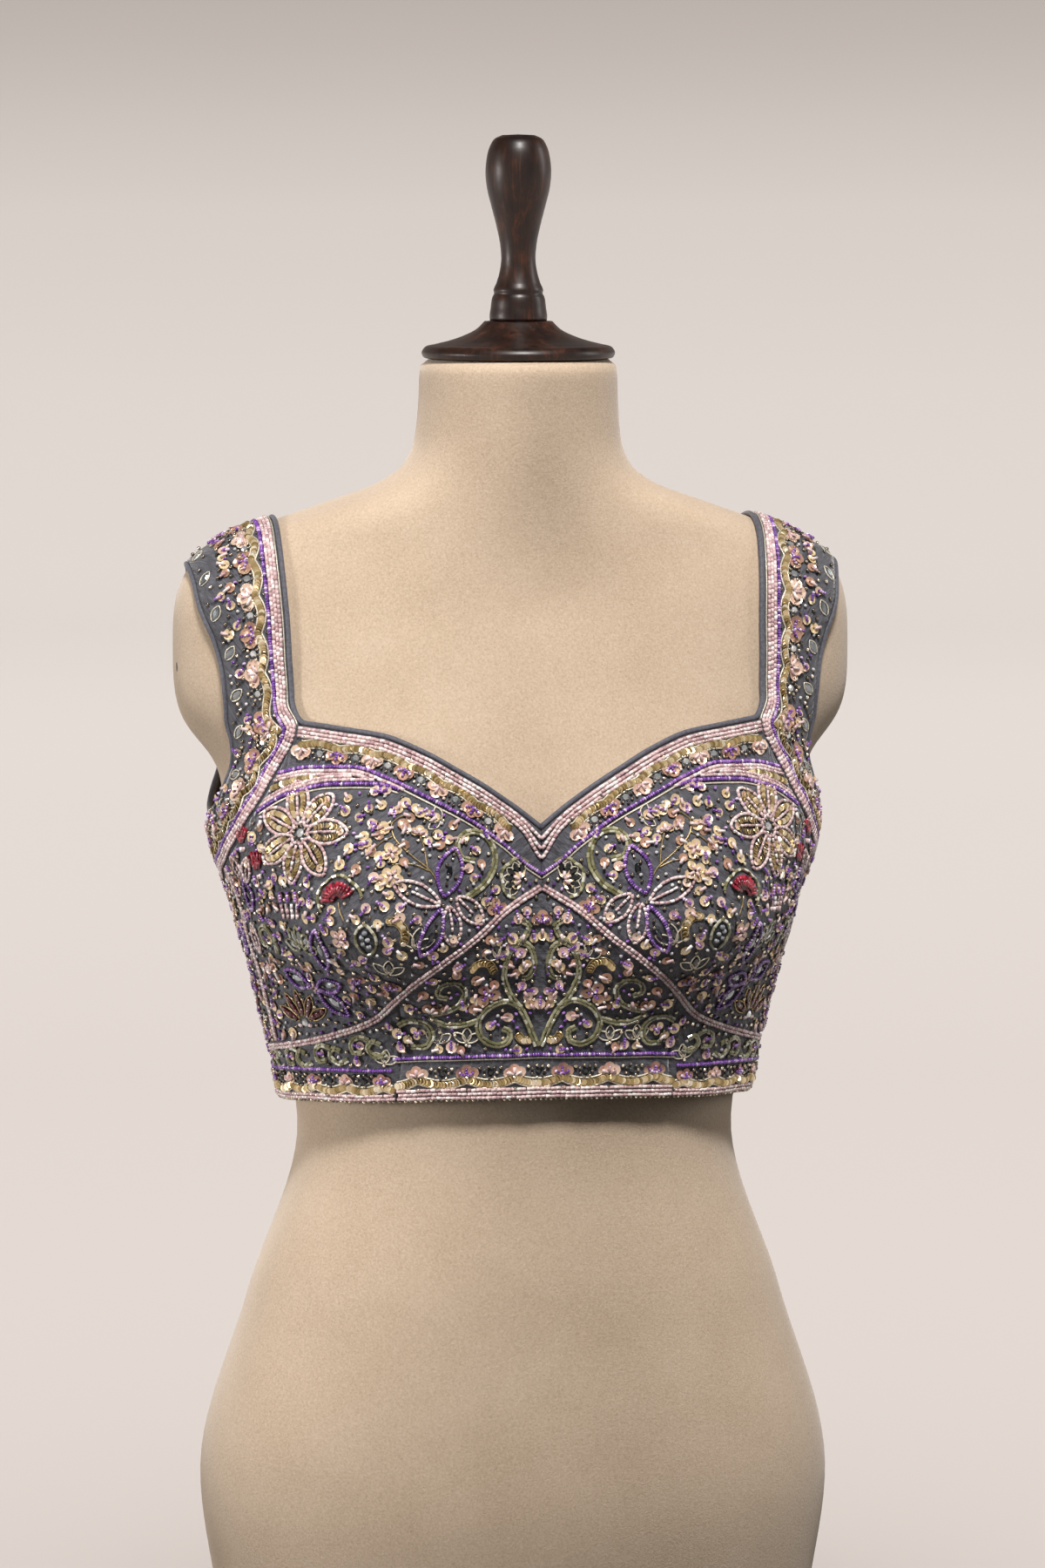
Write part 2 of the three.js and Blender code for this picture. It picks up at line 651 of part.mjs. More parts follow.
for (const side of ["right", "left"]) {
  const mirrored = side === "right";
  add("cup_" + side, wallGeometry(cupGrid(), mirrored), materials.cloth);
  add("midriff_side_" + side, wallGeometry(midriffSideGrid(), mirrored), materials.cloth);
  add("strap_" + side, wallGeometry(strapGrid(), mirrored), materials.cloth);
  add("back_" + side, wallGeometry(backGrid(), mirrored), materials.cloth);
  add("piping_neck_" + side, pipingGeometry(neckPath(), -1, false, mirrored), materials.piping);
  add("piping_armhole_" + side, pipingGeometry(armholePath(), 1, true, mirrored), materials.piping);
}
add("midriff_centre", wallGeometry(midriffCentreGrid(), false), materials.cloth);
add("form_torso", torsoGeometry(), materials.linen);
add("neck_cap", turnedGeometry(CAP_OUTLINE), materials.wood);
add("finial", turnedGeometry(FINIAL_OUTLINE), materials.wood);
add("base_board", boardGeometry(), materials.wood);

export default cropTop;
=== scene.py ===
"""A beaded sweetheart crop top on a limbless dress form.

Lengths are in millimetres until a mesh is made, which turns them into the frame's metres. The form
faces -Y. Most pieces are worked out for the wearer's left, at +X, and mirrored to the right.
"""

import bpy
import numpy as np
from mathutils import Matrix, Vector


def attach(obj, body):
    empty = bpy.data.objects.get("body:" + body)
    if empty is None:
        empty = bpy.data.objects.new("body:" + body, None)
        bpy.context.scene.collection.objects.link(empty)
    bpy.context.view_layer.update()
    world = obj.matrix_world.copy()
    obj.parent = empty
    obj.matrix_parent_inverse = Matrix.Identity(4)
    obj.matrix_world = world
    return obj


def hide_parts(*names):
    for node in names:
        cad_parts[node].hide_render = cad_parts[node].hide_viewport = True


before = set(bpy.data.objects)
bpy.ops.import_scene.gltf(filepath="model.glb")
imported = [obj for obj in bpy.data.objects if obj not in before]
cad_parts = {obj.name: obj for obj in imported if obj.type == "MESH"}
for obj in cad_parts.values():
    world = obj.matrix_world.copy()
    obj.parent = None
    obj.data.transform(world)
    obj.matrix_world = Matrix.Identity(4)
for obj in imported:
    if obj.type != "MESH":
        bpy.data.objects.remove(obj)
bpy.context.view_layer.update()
scene = bpy.context.scene
rng = np.random.default_rng(7)

MM = 0.001
WALL = 2.0
SEAM_GAP = 0.3
PIPING_RADIUS = 1.4
PIPING_RISE = 0.9

# ---- tables of the form and the cut
# height, half width, depth in front, depth behind, set-back of the centre line, squareness
FORM_LEVELS = [
    [20, 160, 98, 104, 2, 2.3], [90, 169, 106, 116, 2, 2.3], [190, 143, 97, 96, 0, 2.2],
    [280, 116.5, 86, 74, -2, 2.15], [320, 122.5, 90, 79, -2, 2.15], [360, 133, 97, 86, -2, 2.2],
    [405, 146, 105, 93, 0, 2.25], [445, 155, 105, 97, 2, 2.3], [490, 156, 97, 99, 4, 2.3],
    [530, 155, 87, 98, 6, 2.25], [560, 153, 79, 94, 7, 2.15], [580, 150, 73, 89, 7, 2.05],
    [591, 143, 70, 85, 6, 2.0], [601, 129, 67, 81, 3, 2.0], [612, 101, 63, 74, -3, 2.0],
    [622, 74, 60, 66, -9, 2.0], [632, 60.5, 58, 60, -13, 2.0], [645, 54.8, 55, 56, -16, 2.0],
    [665, 52.7, 53.5, 54, -18, 2.0], [684, 51.8, 53, 53, -19, 2.0], [688, 47.5, 49, 49, -19, 2.0],
]
FORM_BOTTOM, NECK_TOP, NECK_SET = 20.3, 688.0, -19.0
BUST = {"turn": 36, "z": 402, "rise": 29, "spread": 23, "above": 60, "below": 36}
STUB = {"x": 118, "y": 8, "z": 534.5, "rx": 63, "ry": 50, "rz": 58, "square": 3.2, "round": 2.2,
        "blend": 18}

# height, then how far the cloth's face stands off the skin at the front, side and back
EASE_LEVELS = [
    [296, 9.0, 8.0, 7.5], [322, 6.6, 7.8, 6.4], [350, 4.6, 7.0, 5.0], [380, 3.5, 5.6, 4.2],
    [410, 3.3, 5.6, 3.8], [430, 3.3, 8.0, 3.8], [450, 3.3, 7.6, 3.6], [480, 3.2, 3.6, 3.4],
    [560, 3.2, 3.1, 3.2], [590, 3.1, 2.9, 3.1],
]

# edges and seams, as turn from the centre front in degrees and height
NECKLINE = [(0, 447.4), (9.6, 461), (23.4, 477.3), (33, 487.3), (42, 494), (52, 497.2), (60.4, 499.5)]
UNDERBUST = [(0, 419.3), (9.6, 408.1), (17.6, 394.1), (25.5, 381.8), (36.9, 363.9), (44.8, 351),
             (53.2, 343.1), (68.8, 333.1), (90, 324)]
HEM = [(0, 308), (30, 307), (43, 305.4), (67, 302.5), (90, 298), (135, 297), (180, 298)]
YOKE_SEAM = [(60.4, 499.5), (64, 469.5), (69.6, 445.7), (78, 427), (90, 413)]
BACK_TOP = [(90, 445.5), (96, 450), (102, 466), (105, 481), (107, 497), (121, 500), (129, 488),
            (143, 476), (160, 468), (180, 465)]
STRAP_BACK_ARM, STRAP_BACK_NECK = 107, 121
PRINCESS_TOP, PRINCESS_BOTTOM = 37.5, 42.8
# the purple lines under the neckline band: the lower one leaves the upper one and runs to the strap
UPPER_LINE = [(0, 425.5), (5.1, 432), (11, 442), (18.1, 452.5), (30.4, 466), (38, 473.5), (47, 479),
              (56, 478.5), (63.2, 474.5)]
LOWER_LINE = [(33, 467), (40, 470.5), (50, 470), (59, 464.5), (64, 458), (66.6, 453.5)]

# turn on the yoke seam, then turn and height on the armhole edge
YOKE_ROWS = [
    [90, 90, 445.5], [85, 87, 446.6], [78, 83.5, 451], [72, 80.5, 458.5], [67, 78.3, 467],
    [63.4, 76.6, 478], [60.4, 75.8, 489.7],
]
# lift and distance from the middle at the neck edge, then at the armhole edge
STRAP_AXIS_Y, STRAP_AXIS_Z = 2, 520
STRAP_ROWS = [
    [-16.5, 123.6, -39.5, 152.8], [10, 125, -2, 154.6], [38, 126.4, 32, 159.5], [66, 128.2, 64, 168],
    [93, 129, 93, 170.8], [120, 127.4, 123, 167.6], [146, 124, 153, 160.6], [172, 120, 184, 155],
]

# radius and height of the turned wood
CAP_OUTLINE = [(0, 688.3), (46.5, 688.3), (50.2, 689.3), (51, 691.6), (49.6, 694.2), (44, 695.9),
               (36.5, 697.8), (28.5, 700.6), (22, 704), (17.9, 708), (0, 708)]
FINIAL_OUTLINE = [(0, 708.3), (15, 708.3), (15.2, 710), (14.6, 715), (13.6, 721), (12.8, 722.6),
                  (13.1, 724), (11.6, 728), (9.9, 734), (9.1, 740), (9.6, 748), (11.6, 758),
                  (14.3, 768.5), (16.5, 777.5), (17.3, 785), (16.8, 792.5), (15.2, 799),
                  (12.6, 803.4), (8.5, 805.4), (0, 805.8)]


def cubic(x, y, slope, at):
    """Between the rows of a table, the cubic that has each row's value and slope."""
    i = np.clip(np.searchsorted(x, at, side="right") - 1, 0, len(x) - 2)
    h = (x[i + 1] - x[i]).reshape(np.shape(at) + (1,) * (y.ndim - 1))
    u = (at - x[i]).reshape(h.shape) / h
    return (y[i] * (1 + 2 * u) * (1 - u) ** 2 + slope[i] * h * u * (1 - u) ** 2
            + y[i + 1] * u * u * (3 - 2 * u) + slope[i + 1] * h * u * u * (u - 1))


def curve_of(x, y):
    """A cubic through a table's rows whose slopes are harmonic means, so it never overshoots a row."""
    x, y = np.asarray(x, float), np.asarray(y, float)
    step = np.diff(x)
    slope = np.diff(y) / step
    after, before = slope[1:], slope[:-1]
    near_after, near_before = 2 * step[1:] + step[:-1], step[1:] + 2 * step[:-1]
    with np.errstate(divide="ignore", invalid="ignore"):
        mean = (near_after + near_before) / (near_after / before + near_before / after)
    slopes = np.concatenate([slope[:1], np.where(before * after > 0, mean, 0), slope[-1:]])
    return lambda at: cubic(x, y, slopes, np.clip(at, x[0], x[-1]))


def curves_of(table):
    """A curve for each later column of a table against its first."""
    x, *columns = np.asarray(table, float).T
    return [curve_of(x, column) for column in columns]


side_at, front_at, back_at, set_at, square_at = curves_of(FORM_LEVELS)
ease_front, ease_side, ease_back = curves_of(EASE_LEVELS)
neckline, underbust, hem, yoke_seam, back_top, upper_line, lower_line = (
    curves_of(edge)[0] for edge in (NECKLINE, UNDERBUST, HEM, YOKE_SEAM, BACK_TOP, UPPER_LINE, LOWER_LINE))
neck_lift, neck_side, arm_lift, arm_side = curves_of(np.column_stack([range(len(STRAP_ROWS)), STRAP_ROWS]))


def travelled(points):
    """Distances travelled along a line of points, or down the middle of a grid."""
    line = points if points.ndim == 2 else points.mean(1)
    return np.concatenate([[0], np.cumsum(np.linalg.norm(np.diff(line, axis=0), axis=1))])


def smoothed(points, length, at):
    """A cubic through points whose slope at each is that of the points on either side of it."""
    return cubic(length, points, np.gradient(points, length, axis=0), at)


def respaced(points, count=None, step=0.8):
    """A line or grid smoothed through its rows, with a count of even rows, or rows about a step apart."""
    points = np.asarray(points, float)
    length = travelled(points)
    return smoothed(points, length, np.linspace(0, length[-1], count or int(length[-1] / step) + 2))


# ---- the skin and the cloth over it
NUDGE, WAVE = 0.25, 0.2
SHORTEST, LONGEST = 5.0, 240.0  # rays from inside the form


def torso_radius(turn, z):
    """A superellipse with unequal front and back, plus two smooth rises for the bust."""
    cosine = np.cos(turn)
    depth = np.where(cosine > 0, front_at(z), back_at(z))
    n = square_at(z)
    shell = ((np.abs(np.sin(turn)) / side_at(z)) ** n + (np.abs(cosine) / depth) ** n) ** (-1 / n)
    aside = np.abs(np.arctan2(np.sin(turn), cosine))
    near = (aside - np.radians(BUST["turn"])) / np.radians(BUST["spread"])
    far = (aside + np.radians(BUST["turn"])) / np.radians(BUST["spread"])
    up = (z - BUST["z"]) / np.where(z > BUST["z"], BUST["above"], BUST["below"])
    return shell + BUST["rise"] * np.exp(-up * up) * (np.exp(-near * near) + np.exp(-far * far))


def form_field(p):
    """Below zero inside the form: the torso joined to the two stubs by a soft minimum."""
    x, y, z = np.moveaxis(p, -1, 0)
    behind = y - set_at(z)
    torso = np.hypot(x, behind) - torso_radius(np.arctan2(x, -behind), z)
    across = np.abs((np.abs(x) - STUB["x"]) / STUB["rx"]) ** STUB["square"]
    along = np.abs((z - STUB["z"]) / STUB["rz"]) ** STUB["square"]
    outline = (across + along) ** (STUB["round"] / STUB["square"])
    depth = np.abs((y - STUB["y"]) / STUB["ry"]) ** STUB["round"]
    stub = ((outline + depth) ** (1 / STUB["round"]) - 1) * STUB["ry"]
    h = np.clip(0.5 + 0.5 * (stub - torso) / STUB["blend"], 0, 1)
    return stub * (1 - h) + torso * h - STUB["blend"] * h * (1 - h)


def gradient(p):
    """Differences of the field half a millimetre apart, along each axis."""
    steps = np.eye(3) * NUDGE
    return np.stack([(form_field(p + step) - form_field(p - step)) / (2 * NUDGE) for step in steps], -1)


def unit(v):
    """Vectors scaled to length 1."""
    return v / np.maximum(np.linalg.norm(v, axis=-1, keepdims=True), 1e-9)


def leave(origin, direction):
    """Where rays from inside the form leave it, found by halving."""
    inside = np.full(origin.shape[:-1], SHORTEST)
    outside = np.full(origin.shape[:-1], LONGEST)
    for _ in range(30):
        middle = (inside + outside) / 2
        within = form_field(origin + direction * middle[..., None]) < 0
        inside = np.where(within, middle, inside)
        outside = np.where(within, outside, middle)
    return origin + direction * inside[..., None]


def skin_at_turn(turn, z):
    """The skin at turns in degrees and heights."""
    turn, z = np.broadcast_arrays(np.asarray(turn, float), np.asarray(z, float))
    a = np.radians(turn)
    origin = np.stack([0 * z, set_at(z), z], -1)
    return leave(origin, np.stack([np.sin(a), -np.cos(a), 0 * a], -1))


def skin_at_lift(x, lift):
    """The skin seen from a line along X inside the shoulder, at distances x from the middle."""
    x, lift = np.broadcast_arrays(np.asarray(x, float), np.asarray(lift, float))
    a = np.radians(lift)
    origin = np.stack([x, 0 * x + STRAP_AXIS_Y, 0 * x + STRAP_AXIS_Z], -1)
    return leave(origin, np.stack([0 * a, -np.cos(a), np.sin(a)], -1))


def ripple(p):
    """Slight unevenness of stitched cloth: three slow waves of a fifth of a millimetre."""
    x, y, z = np.moveaxis(p, -1, 0)
    waves = x * 0.21 + z * 0.11, y * 0.17 - z * 0.23 + 1, (x + y + z) * 0.09 + 2
    return WAVE * sum(np.sin(wave) for wave in waves)


def ease_at(p):
    """The front or back ease, turning into the side's with the fourth power of the turn's sine."""
    turn = np.arctan2(np.abs(p[..., 0]), set_at(p[..., 2]) - p[..., 1])
    to_side = np.sin(turn) ** 4
    plain = np.where(np.cos(turn) > 0, ease_front(p[..., 2]), ease_back(p[..., 2]))
    return plain * (1 - to_side) + ease_side(p[..., 2]) * to_side + ripple(p)


def settle(p, lift=0.0):
    """Guide points dropped on the cloth: Newton steps to the skin, then out by the ease and a lift."""
    for _ in range(4):
        g = gradient(p)
        p = p - g * (form_field(p) / np.sum(g * g, -1))[..., None]
    normal = unit(gradient(p))
    return p + normal * (ease_at(p) + lift)[..., None], normal


# ---- meshes
SIDES = (("left", False), ("right", True))


def to_object(name, points, faces, *materials, uv=None, tone=None, smooth=True, mirrored=False):
    """An object from points in millimetres and a list of face arrays, of quads or of triangles. A mirrored
    one is turned over to the wearer's right, and a tone is kept for each point."""
    points = np.asarray(points, float).reshape(-1, 3) * MM
    if mirrored:
        points = points * [-1, 1, 1]
        faces = [f[:, ::-1] for f in faces]
    mesh = bpy.data.meshes.new(name)
    corners = np.concatenate([f.ravel() for f in faces])
    sizes = np.concatenate([np.full(len(f), f.shape[1]) for f in faces])
    mesh.vertices.add(len(points))
    mesh.vertices.foreach_set("co", points.ravel())
    mesh.loops.add(len(corners))
    mesh.loops.foreach_set("vertex_index", corners.astype(np.int32))
    mesh.polygons.add(len(sizes))
    mesh.polygons.foreach_set("loop_start", (np.cumsum(sizes) - sizes).astype(np.int32))
    mesh.polygons.foreach_set("use_smooth", np.full(len(sizes), smooth))
    mesh.update(calc_edges=True)
    if uv is not None:
        mesh.uv_layers.new(name="cloth").data.foreach_set("uv", uv.reshape(-1, 2)[corners].ravel())
    if tone is not None:
        mesh.attributes.new("tone", "FLOAT", "POINT").data.foreach_set("value", tone.astype(np.float32))
    for material in materials:
        mesh.materials.append(material)
    piece = bpy.data.objects.new(name, mesh)
    scene.collection.objects.link(piece)
    return piece


def rides(piece, material_slot, *nodes):
    """The piece on the part's one body, in the place of the plain nodes it covers."""
    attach(piece, "root")
    if nodes:
        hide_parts(*nodes)
    return piece


def grid_faces(rows, columns, wrap=False):
    """Quads over a grid of points stored row by row; wrap joins the last column to the first."""
    r = np.arange(rows - 1)[:, None]
    c = np.arange(columns if wrap else columns - 1)[None, :]
    d = (c + 1) % columns
    quads = [r * columns + c, r * columns + d, (r + 1) * columns + d, (r + 1) * columns + c]
    return np.stack(np.broadcast_arrays(*quads), -1).reshape(-1, 4)


def capped(rows, sides):
    """Faces of rings in a row, whose ends are closed by fans to two last points, the ends' centres."""
    count, ring = rows * sides, np.arange(sides)
    after, centre = np.roll(ring, -1), np.full(sides, count)
    low = np.stack([after, ring, centre], -1)
    high = np.stack([ring + count - sides, after + count - sides, centre + 1], -1)
    return [grid_faces(rows, sides, wrap=True), low, high]


def circle(sides):
    """Even points round a circle of radius 1."""
    angle = np.linspace(0, 2 * np.pi, sides, endpoint=False)
    return np.stack([np.cos(angle), np.sin(angle)], -1)


def cut(outline, *levels):
    """Copies of a flat outline at levels of scale and height, joined, with both ends closed by fans."""
    scale, height = np.array(levels, float).T[:, :, None, None]
    flat = scale * outline
    points = np.concatenate([flat, np.broadcast_to(height, (*flat.shape[:2], 1))], -1).reshape(-1, 3)
    ends = [[0, 0, levels[0][1]], [0, 0, levels[-1][1]]]
    return np.concatenate([points, ends]), capped(len(levels), len(outline))


# ---- materials
def linear(code):
    """An sRGB hex colour as linear RGBA."""
    c = np.array([int(code[i:i + 2], 16) for i in (1, 3, 5)]) / 255
    c = np.where(c <= 0.04045, c / 12.92, ((c + 0.055) / 1.055) ** 2.4)
    return (*c.tolist(), 1.0)


def node(m, kind, out=0, stops=(), **values):
    """Adds a node and returns one of its outputs. Values in small letters are its own settings, the others
    its sockets, each given a value or another node's output. Stops are a ramp's places and hex colours."""
    made = m.node_tree.nodes.new("ShaderNode" + kind)
    for key, value in values.items():
        if key.islower():
            setattr(made, key, value)
        elif isinstance(value, bpy.types.NodeSocket):
            m.node_tree.links.new(value, made.inputs[int(key[1:]) if key[0] == "_" else key])
        else:
            made.inputs[int(key[1:]) if key[0] == "_" else key].default_value = value
    elements = made.color_ramp.elements if stops else ()
    while len(elements) < len(stops):
        elements.new(0.5)
    for element, (place, colour) in zip(elements, stops):
        element.position = place
        element.color = linear(colour)
    return made.outputs[out]


def surface(name, finish, *stops, cloth=False, **constants):
    """A material whose finish gives its colour and bump, worked over a cloth's flat coordinates or over a
    piece's place. The constants are its shader's other values."""
    m = bpy.data.materials.new(name)
    m.use_nodes = True
    shader = m.node_tree.nodes["Principled BSDF"]
    at = node(m, "UVMap", uv_map="cloth") if cloth else node(m, "TexCoord", "Object")
    for socket, output in zip(("Base Color", "Normal"), finish(m, at, *stops)):
        m.node_tree.links.new(output, shader.inputs[socket])
    for key, value in constants.items():
        shader.inputs[key.replace("_", " ")].default_value = value
    return m


def raw_silk(m, uv):
    """Slate raw silk, hand-woven: slubs about 1 mm thick run with the weft, over a mottled dye."""
    along = node(m, "Mapping", _0=uv, Scale=(0.12, 1.1, 1))
    slub = node(m, "TexNoise", Vector=along, Scale=1.4, Detail=5.0, Roughness=0.6)
    mottle = node(m, "TexNoise", Vector=uv, Scale=0.16, Detail=5.0, Roughness=0.65)
    both = node(m, "Math", operation="ADD", _0=slub, _1=mottle)
    half = node(m, "Math", operation="MULTIPLY", _0=both, _1=0.5)
    puckers = node(m, "TexNoise", Vector=uv, Scale=0.22, Detail=2.0, Roughness=0.5)
    swell = node(m, "Bump", _0=0.8, _1=MM * 2.2, Height=puckers)
    return (node(m, "ValToRGB", _0=half, stops=((0.36, "#37383d"), (0.5, "#4e4f56"), (0.64, "#6c6d75"))),
            node(m, "Bump", _0=0.55, _1=MM * 0.25, Height=slub, Normal=swell))


def cotton(m, uv):
    """Plain-woven cotton lining, matt and even, with a fine thread."""
    weave = node(m, "TexNoise", Vector=uv, Scale=2.2, Detail=2.0)
    return (node(m, "ValToRGB", _0=weave, stops=((0.35, "#6b6364"), (0.65, "#7a7172"))),
            node(m, "Bump", _0=0.3, _1=MM * 0.1, Height=weave))


def bound_cord(m, uv):
    """Cotton cord bound in bias-cut silk: a faint slant across it every 1.5 mm."""
    slant = node(m, "TexWave", "Fac", bands_direction="DIAGONAL", Vector=uv, Scale=0.2, Distortion=1.5)
    fibre = node(m, "TexNoise", Vector=uv, Scale=0.6, Detail=4.0)
    return (node(m, "ValToRGB", _0=fibre, stops=((0.35, "#484953"), (0.65, "#62636e"))),
            node(m, "Bump", _0=0.35, _1=MM * 0.15, Height=slant))


# A pin slot in the end of the right stub, painted on as a dark spot of painted shade: where it is, and how
# far it reaches each way, in metres.
PIN_SLOT = tuple(MM * leave(np.array([-118.0, 8, 526]), np.array([-0.985, -0.17, 0])))
PIN_SLOT_SIZE = (0.006, 0.0011, 0.0026)


def suede(m, place):
    """Brushed suede cloth stretched over the form: a pebbled nap about 1.5 mm across, lighter on its
    tips, with the pin slot painted on as a dark spot, painted shade standing in for its hollow."""
    pebble = node(m, "TexNoise", Vector=place, Scale=820.0, Detail=4.0, Roughness=0.6, Distortion=0.6)
    patch = node(m, "TexNoise", Vector=place, Scale=26.0, Detail=3.0, Roughness=0.5)
    patch = node(m, "Math", operation="MULTIPLY", _0=patch, _1=0.22)
    nap = node(m, "Math", operation="MULTIPLY_ADD", _0=pebble, _1=0.78, _2=patch)
    from_slot = node(m, "Mapping", vector_type="TEXTURE", _0=place, Location=PIN_SLOT,
                     Scale=PIN_SLOT_SIZE)
    reach = node(m, "VectorMath", "Value", operation="LENGTH", _0=from_slot)
    # painted shade: inside the slot's outline the colour drops to near black, standing in for the shade in
    # its hollow
    slot_painted_shade = node(m, "MapRange", _0=reach, _1=0.8, _2=1.05, _3=-1.0, _4=0.0)
    nap = node(m, "Math", operation="ADD", _0=nap, _1=slot_painted_shade)
    # the darkest stop is the slot's painted shade, the others are the suede's own colours
    shades_and_painted_shade = (0.04, "#241a15"), (0.28, "#b8a28a"), (0.5, "#ccb79f"), (0.7, "#d9c6b0")
    return node(m, "ValToRGB", _0=nap, stops=shades_and_painted_shade), node(m, "Bump", _0=0.5, _1=MM * 0.5, Height=pebble)


def polished_wood(m, place):
    """Dark-stained beech, turned and polished: grain runs up it, with red-brown flecks in the stain."""
    upward = node(m, "Mapping", _0=place, Scale=(1, 1, 0.09))
    grain = node(m, "TexNoise", Vector=upward, Scale=260.0, Detail=6.0, Roughness=0.7, Distortion=0.8)
    cloud = node(m, "TexNoise", Vector=place, Scale=45.0, Detail=4.0, Roughness=0.6)
    mix = node(m, "Math", operation="MULTIPLY", _0=grain, _1=cloud)
    return (node(m, "ValToRGB", _0=mix, stops=((0.16, "#160c09"), (0.28, "#2c1a13"), (0.4, "#54301f"))),
            node(m, "Bump", _0=0.12, _1=MM * 0.2, Height=grain))


def rippled(m, place, stops, scale, detail, strength):
    """The colour of each bead from its tone, near white at the top of some kinds' shades as painted
    highlight, and faint ripples of a scale and detail.
    """
    tone = node(m, "Attribute", "Fac", attribute_name="tone")
    ripples = node(m, "TexNoise", Vector=place, Scale=scale, Detail=detail)
    return (node(m, "ValToRGB", _0=tone, stops=stops),
            node(m, "Bump", _0=strength, _1=MM * 0.1, Height=ripples))


def glass(m, place, *stops):
    """Pressed glass, lined with colour inside: a hard clear gloss over a deep body colour."""
    return rippled(m, place, stops, 900.0, 1.0, 0.15)


def foil(m, place, *stops):
    """Metallised plastic film or drawn wire: bright metal with faint ripples from the press."""
    return rippled(m, place, stops, 420.0, 2.0, 0.45)


RAW_SILK = surface("raw_silk_slate", raw_silk, cloth=True, Roughness=0.72, Sheen_Weight=0.4,
                   Sheen_Roughness=0.4)
LINING = surface("cotton_lining", cotton, cloth=True, Roughness=0.85)
CORD = surface("bias_bound_cord", bound_cord, cloth=True, Roughness=0.62, Sheen_Weight=0.2)
SUEDE = surface("suede_cover", suede, Roughness=0.95, Specular_IOR_Level=0.2, Sheen_Weight=0.3,
                Sheen_Roughness=0.5)
WOOD = surface("polished_dark_beech", polished_wood, Roughness=0.42, Specular_IOR_Level=0.3,
               Coat_Weight=0.25, Coat_Roughness=0.3)


# ---- the form and its wood
# heights between which the throat is spanned, and the turns in degrees over which that fades out
THROAT_LOW, THROAT_HIGH = 554, 650
THROAT_SIDE, THROAT_FADE = 74, 44
BOARD = {"half_width": 168, "half_depth": 113, "set_back": 6, "edge": 3, "height": 20}


def span_throat(points, turns, heights):
    """The cover stretches over the hollow of the throat: between two heights a cubic that leaves the skin
    as the skin leaves it takes its place in front, and eases back to it towards the sides."""
    skin = (heights < THROAT_LOW) | (heights > THROAT_HIGH)
    spanned = smoothed(points[skin], heights[skin], heights)
    aside = np.minimum(turns, 360 - turns)
    share = np.clip((THROAT_SIDE - aside) / THROAT_FADE, 0, 1)[:, None]
    share = share * share * (3 - 2 * share)
    return points + share * (spanned - points)


def torso():
    """Rays at even turns and heights, out from the centre line to the skin; both ends close to a point."""
    turns = np.linspace(0, 360, 144, endpoint=False)
    heights = np.unique(np.concatenate([
        np.linspace(FORM_BOTTOM, 320, 34), np.linspace(320, 640, 104), np.linspace(640, NECK_TOP, 16)]))
    points = span_throat(skin_at_turn(turns[None, :], heights[:, None]), turns, heights)
    ends = [[0, set_at(FORM_BOTTOM), FORM_BOTTOM], [0, NECK_SET, NECK_TOP]]
    return np.concatenate([points.reshape(-1, 3), ends]), capped(len(heights), len(turns))


def turned(outline, centre_y=0.0, sides=64, squash=1.0):
    """An outline of radius and height spun about an upright axis; squash flattens it from front to back."""
    turns = np.linspace(0, 2 * np.pi, sides, endpoint=False)
    points, faces = cut(np.stack([np.sin(turns), -np.cos(turns) * squash], -1), *outline[1:-1])
    points[-2:, 2] = outline[0][1], outline[-1][1]
    return points + [0, centre_y, 0], faces


def rounded(outline, step=1.4):
    """The outline with rows every step, so its turned shoulders shade softly while its corners hold."""
    rows = np.array(outline[1:-1], float)
    length = travelled(rows)
    at = np.unique(np.concatenate([np.arange(0, length[-1], step), length]))
    return [outline[0], *smoothed(rows, length, at).tolist(), outline[-1]]


def board_outline():
    """The board's edge: upright, with a quarter-round of its edge size top and bottom."""
    turn = np.linspace(0, np.pi / 2, 7)
    corner = np.stack([np.sin(turn), 1 - np.cos(turn)], -1) * BOARD["edge"]
    low = corner + [BOARD["half_width"] - BOARD["edge"], 0]
    high = low[::-1] * [1, -1] + [0, BOARD["height"]]
    return [(0, 0), *low.tolist(), *high.tolist(), (0, BOARD["height"])]


rides(to_object("torso_cover", *torso(), SUEDE), "form_cover", "form_torso")
board = turned(board_outline(), BOARD["set_back"], 160, BOARD["half_depth"] / BOARD["half_width"])
for name, shape, node_name in (("turned_neck_cap", turned(rounded(CAP_OUTLINE), NECK_SET), "neck_cap"),
                               ("turned_finial", turned(rounded(FINIAL_OUTLINE), NECK_SET), "finial"),
                               ("oval_board", board, "base_board")):
    rides(to_object(name, *shape, WOOD), "turned_wood", node_name)


# ---- cloth panels
COLUMN_STEP, MIDDLE_HEIGHT = 1.4, 370
YOKE_START = YOKE_SEAM[0][0]
CUT_APART = 40


def seam_share(curve, turn):
    """Half a seam gap measured up the body, longer where the seam is steep."""
    rise = curve(turn + 0.5) - curve(turn - 0.5)
    middle = skin_at_turn(turn, curve(turn))
    return SEAM_GAP / 2 * np.hypot(1, rise / (np.radians(1) * np.hypot(middle[..., 0], middle[..., 1])))


def gap_turn(turn, z):
    """Half a seam gap as a turn in degrees."""
    p = skin_at_turn(turn, z)
    return float(np.degrees(SEAM_GAP / 2 / np.hypot(p[..., 0], p[..., 1])))


def drawn_in(first, last, keep=(), first_gap=True):
    """Turns from first to last about a step apart, with those in keep, its ends drawn in by half a gap."""
    even = np.linspace(first, last, int((last - first) / COLUMN_STEP) + 2)
    turns = np.unique(np.concatenate([even, keep]))
    turns[0] += gap_turn(first, MIDDLE_HEIGHT) if first_gap else 0
    turns[-1] -= gap_turn(last, MIDDLE_HEIGHT)
    return turns


def between(low, high, share):
    """The value a share of the way from low to high."""
    return low + (high - low) * share


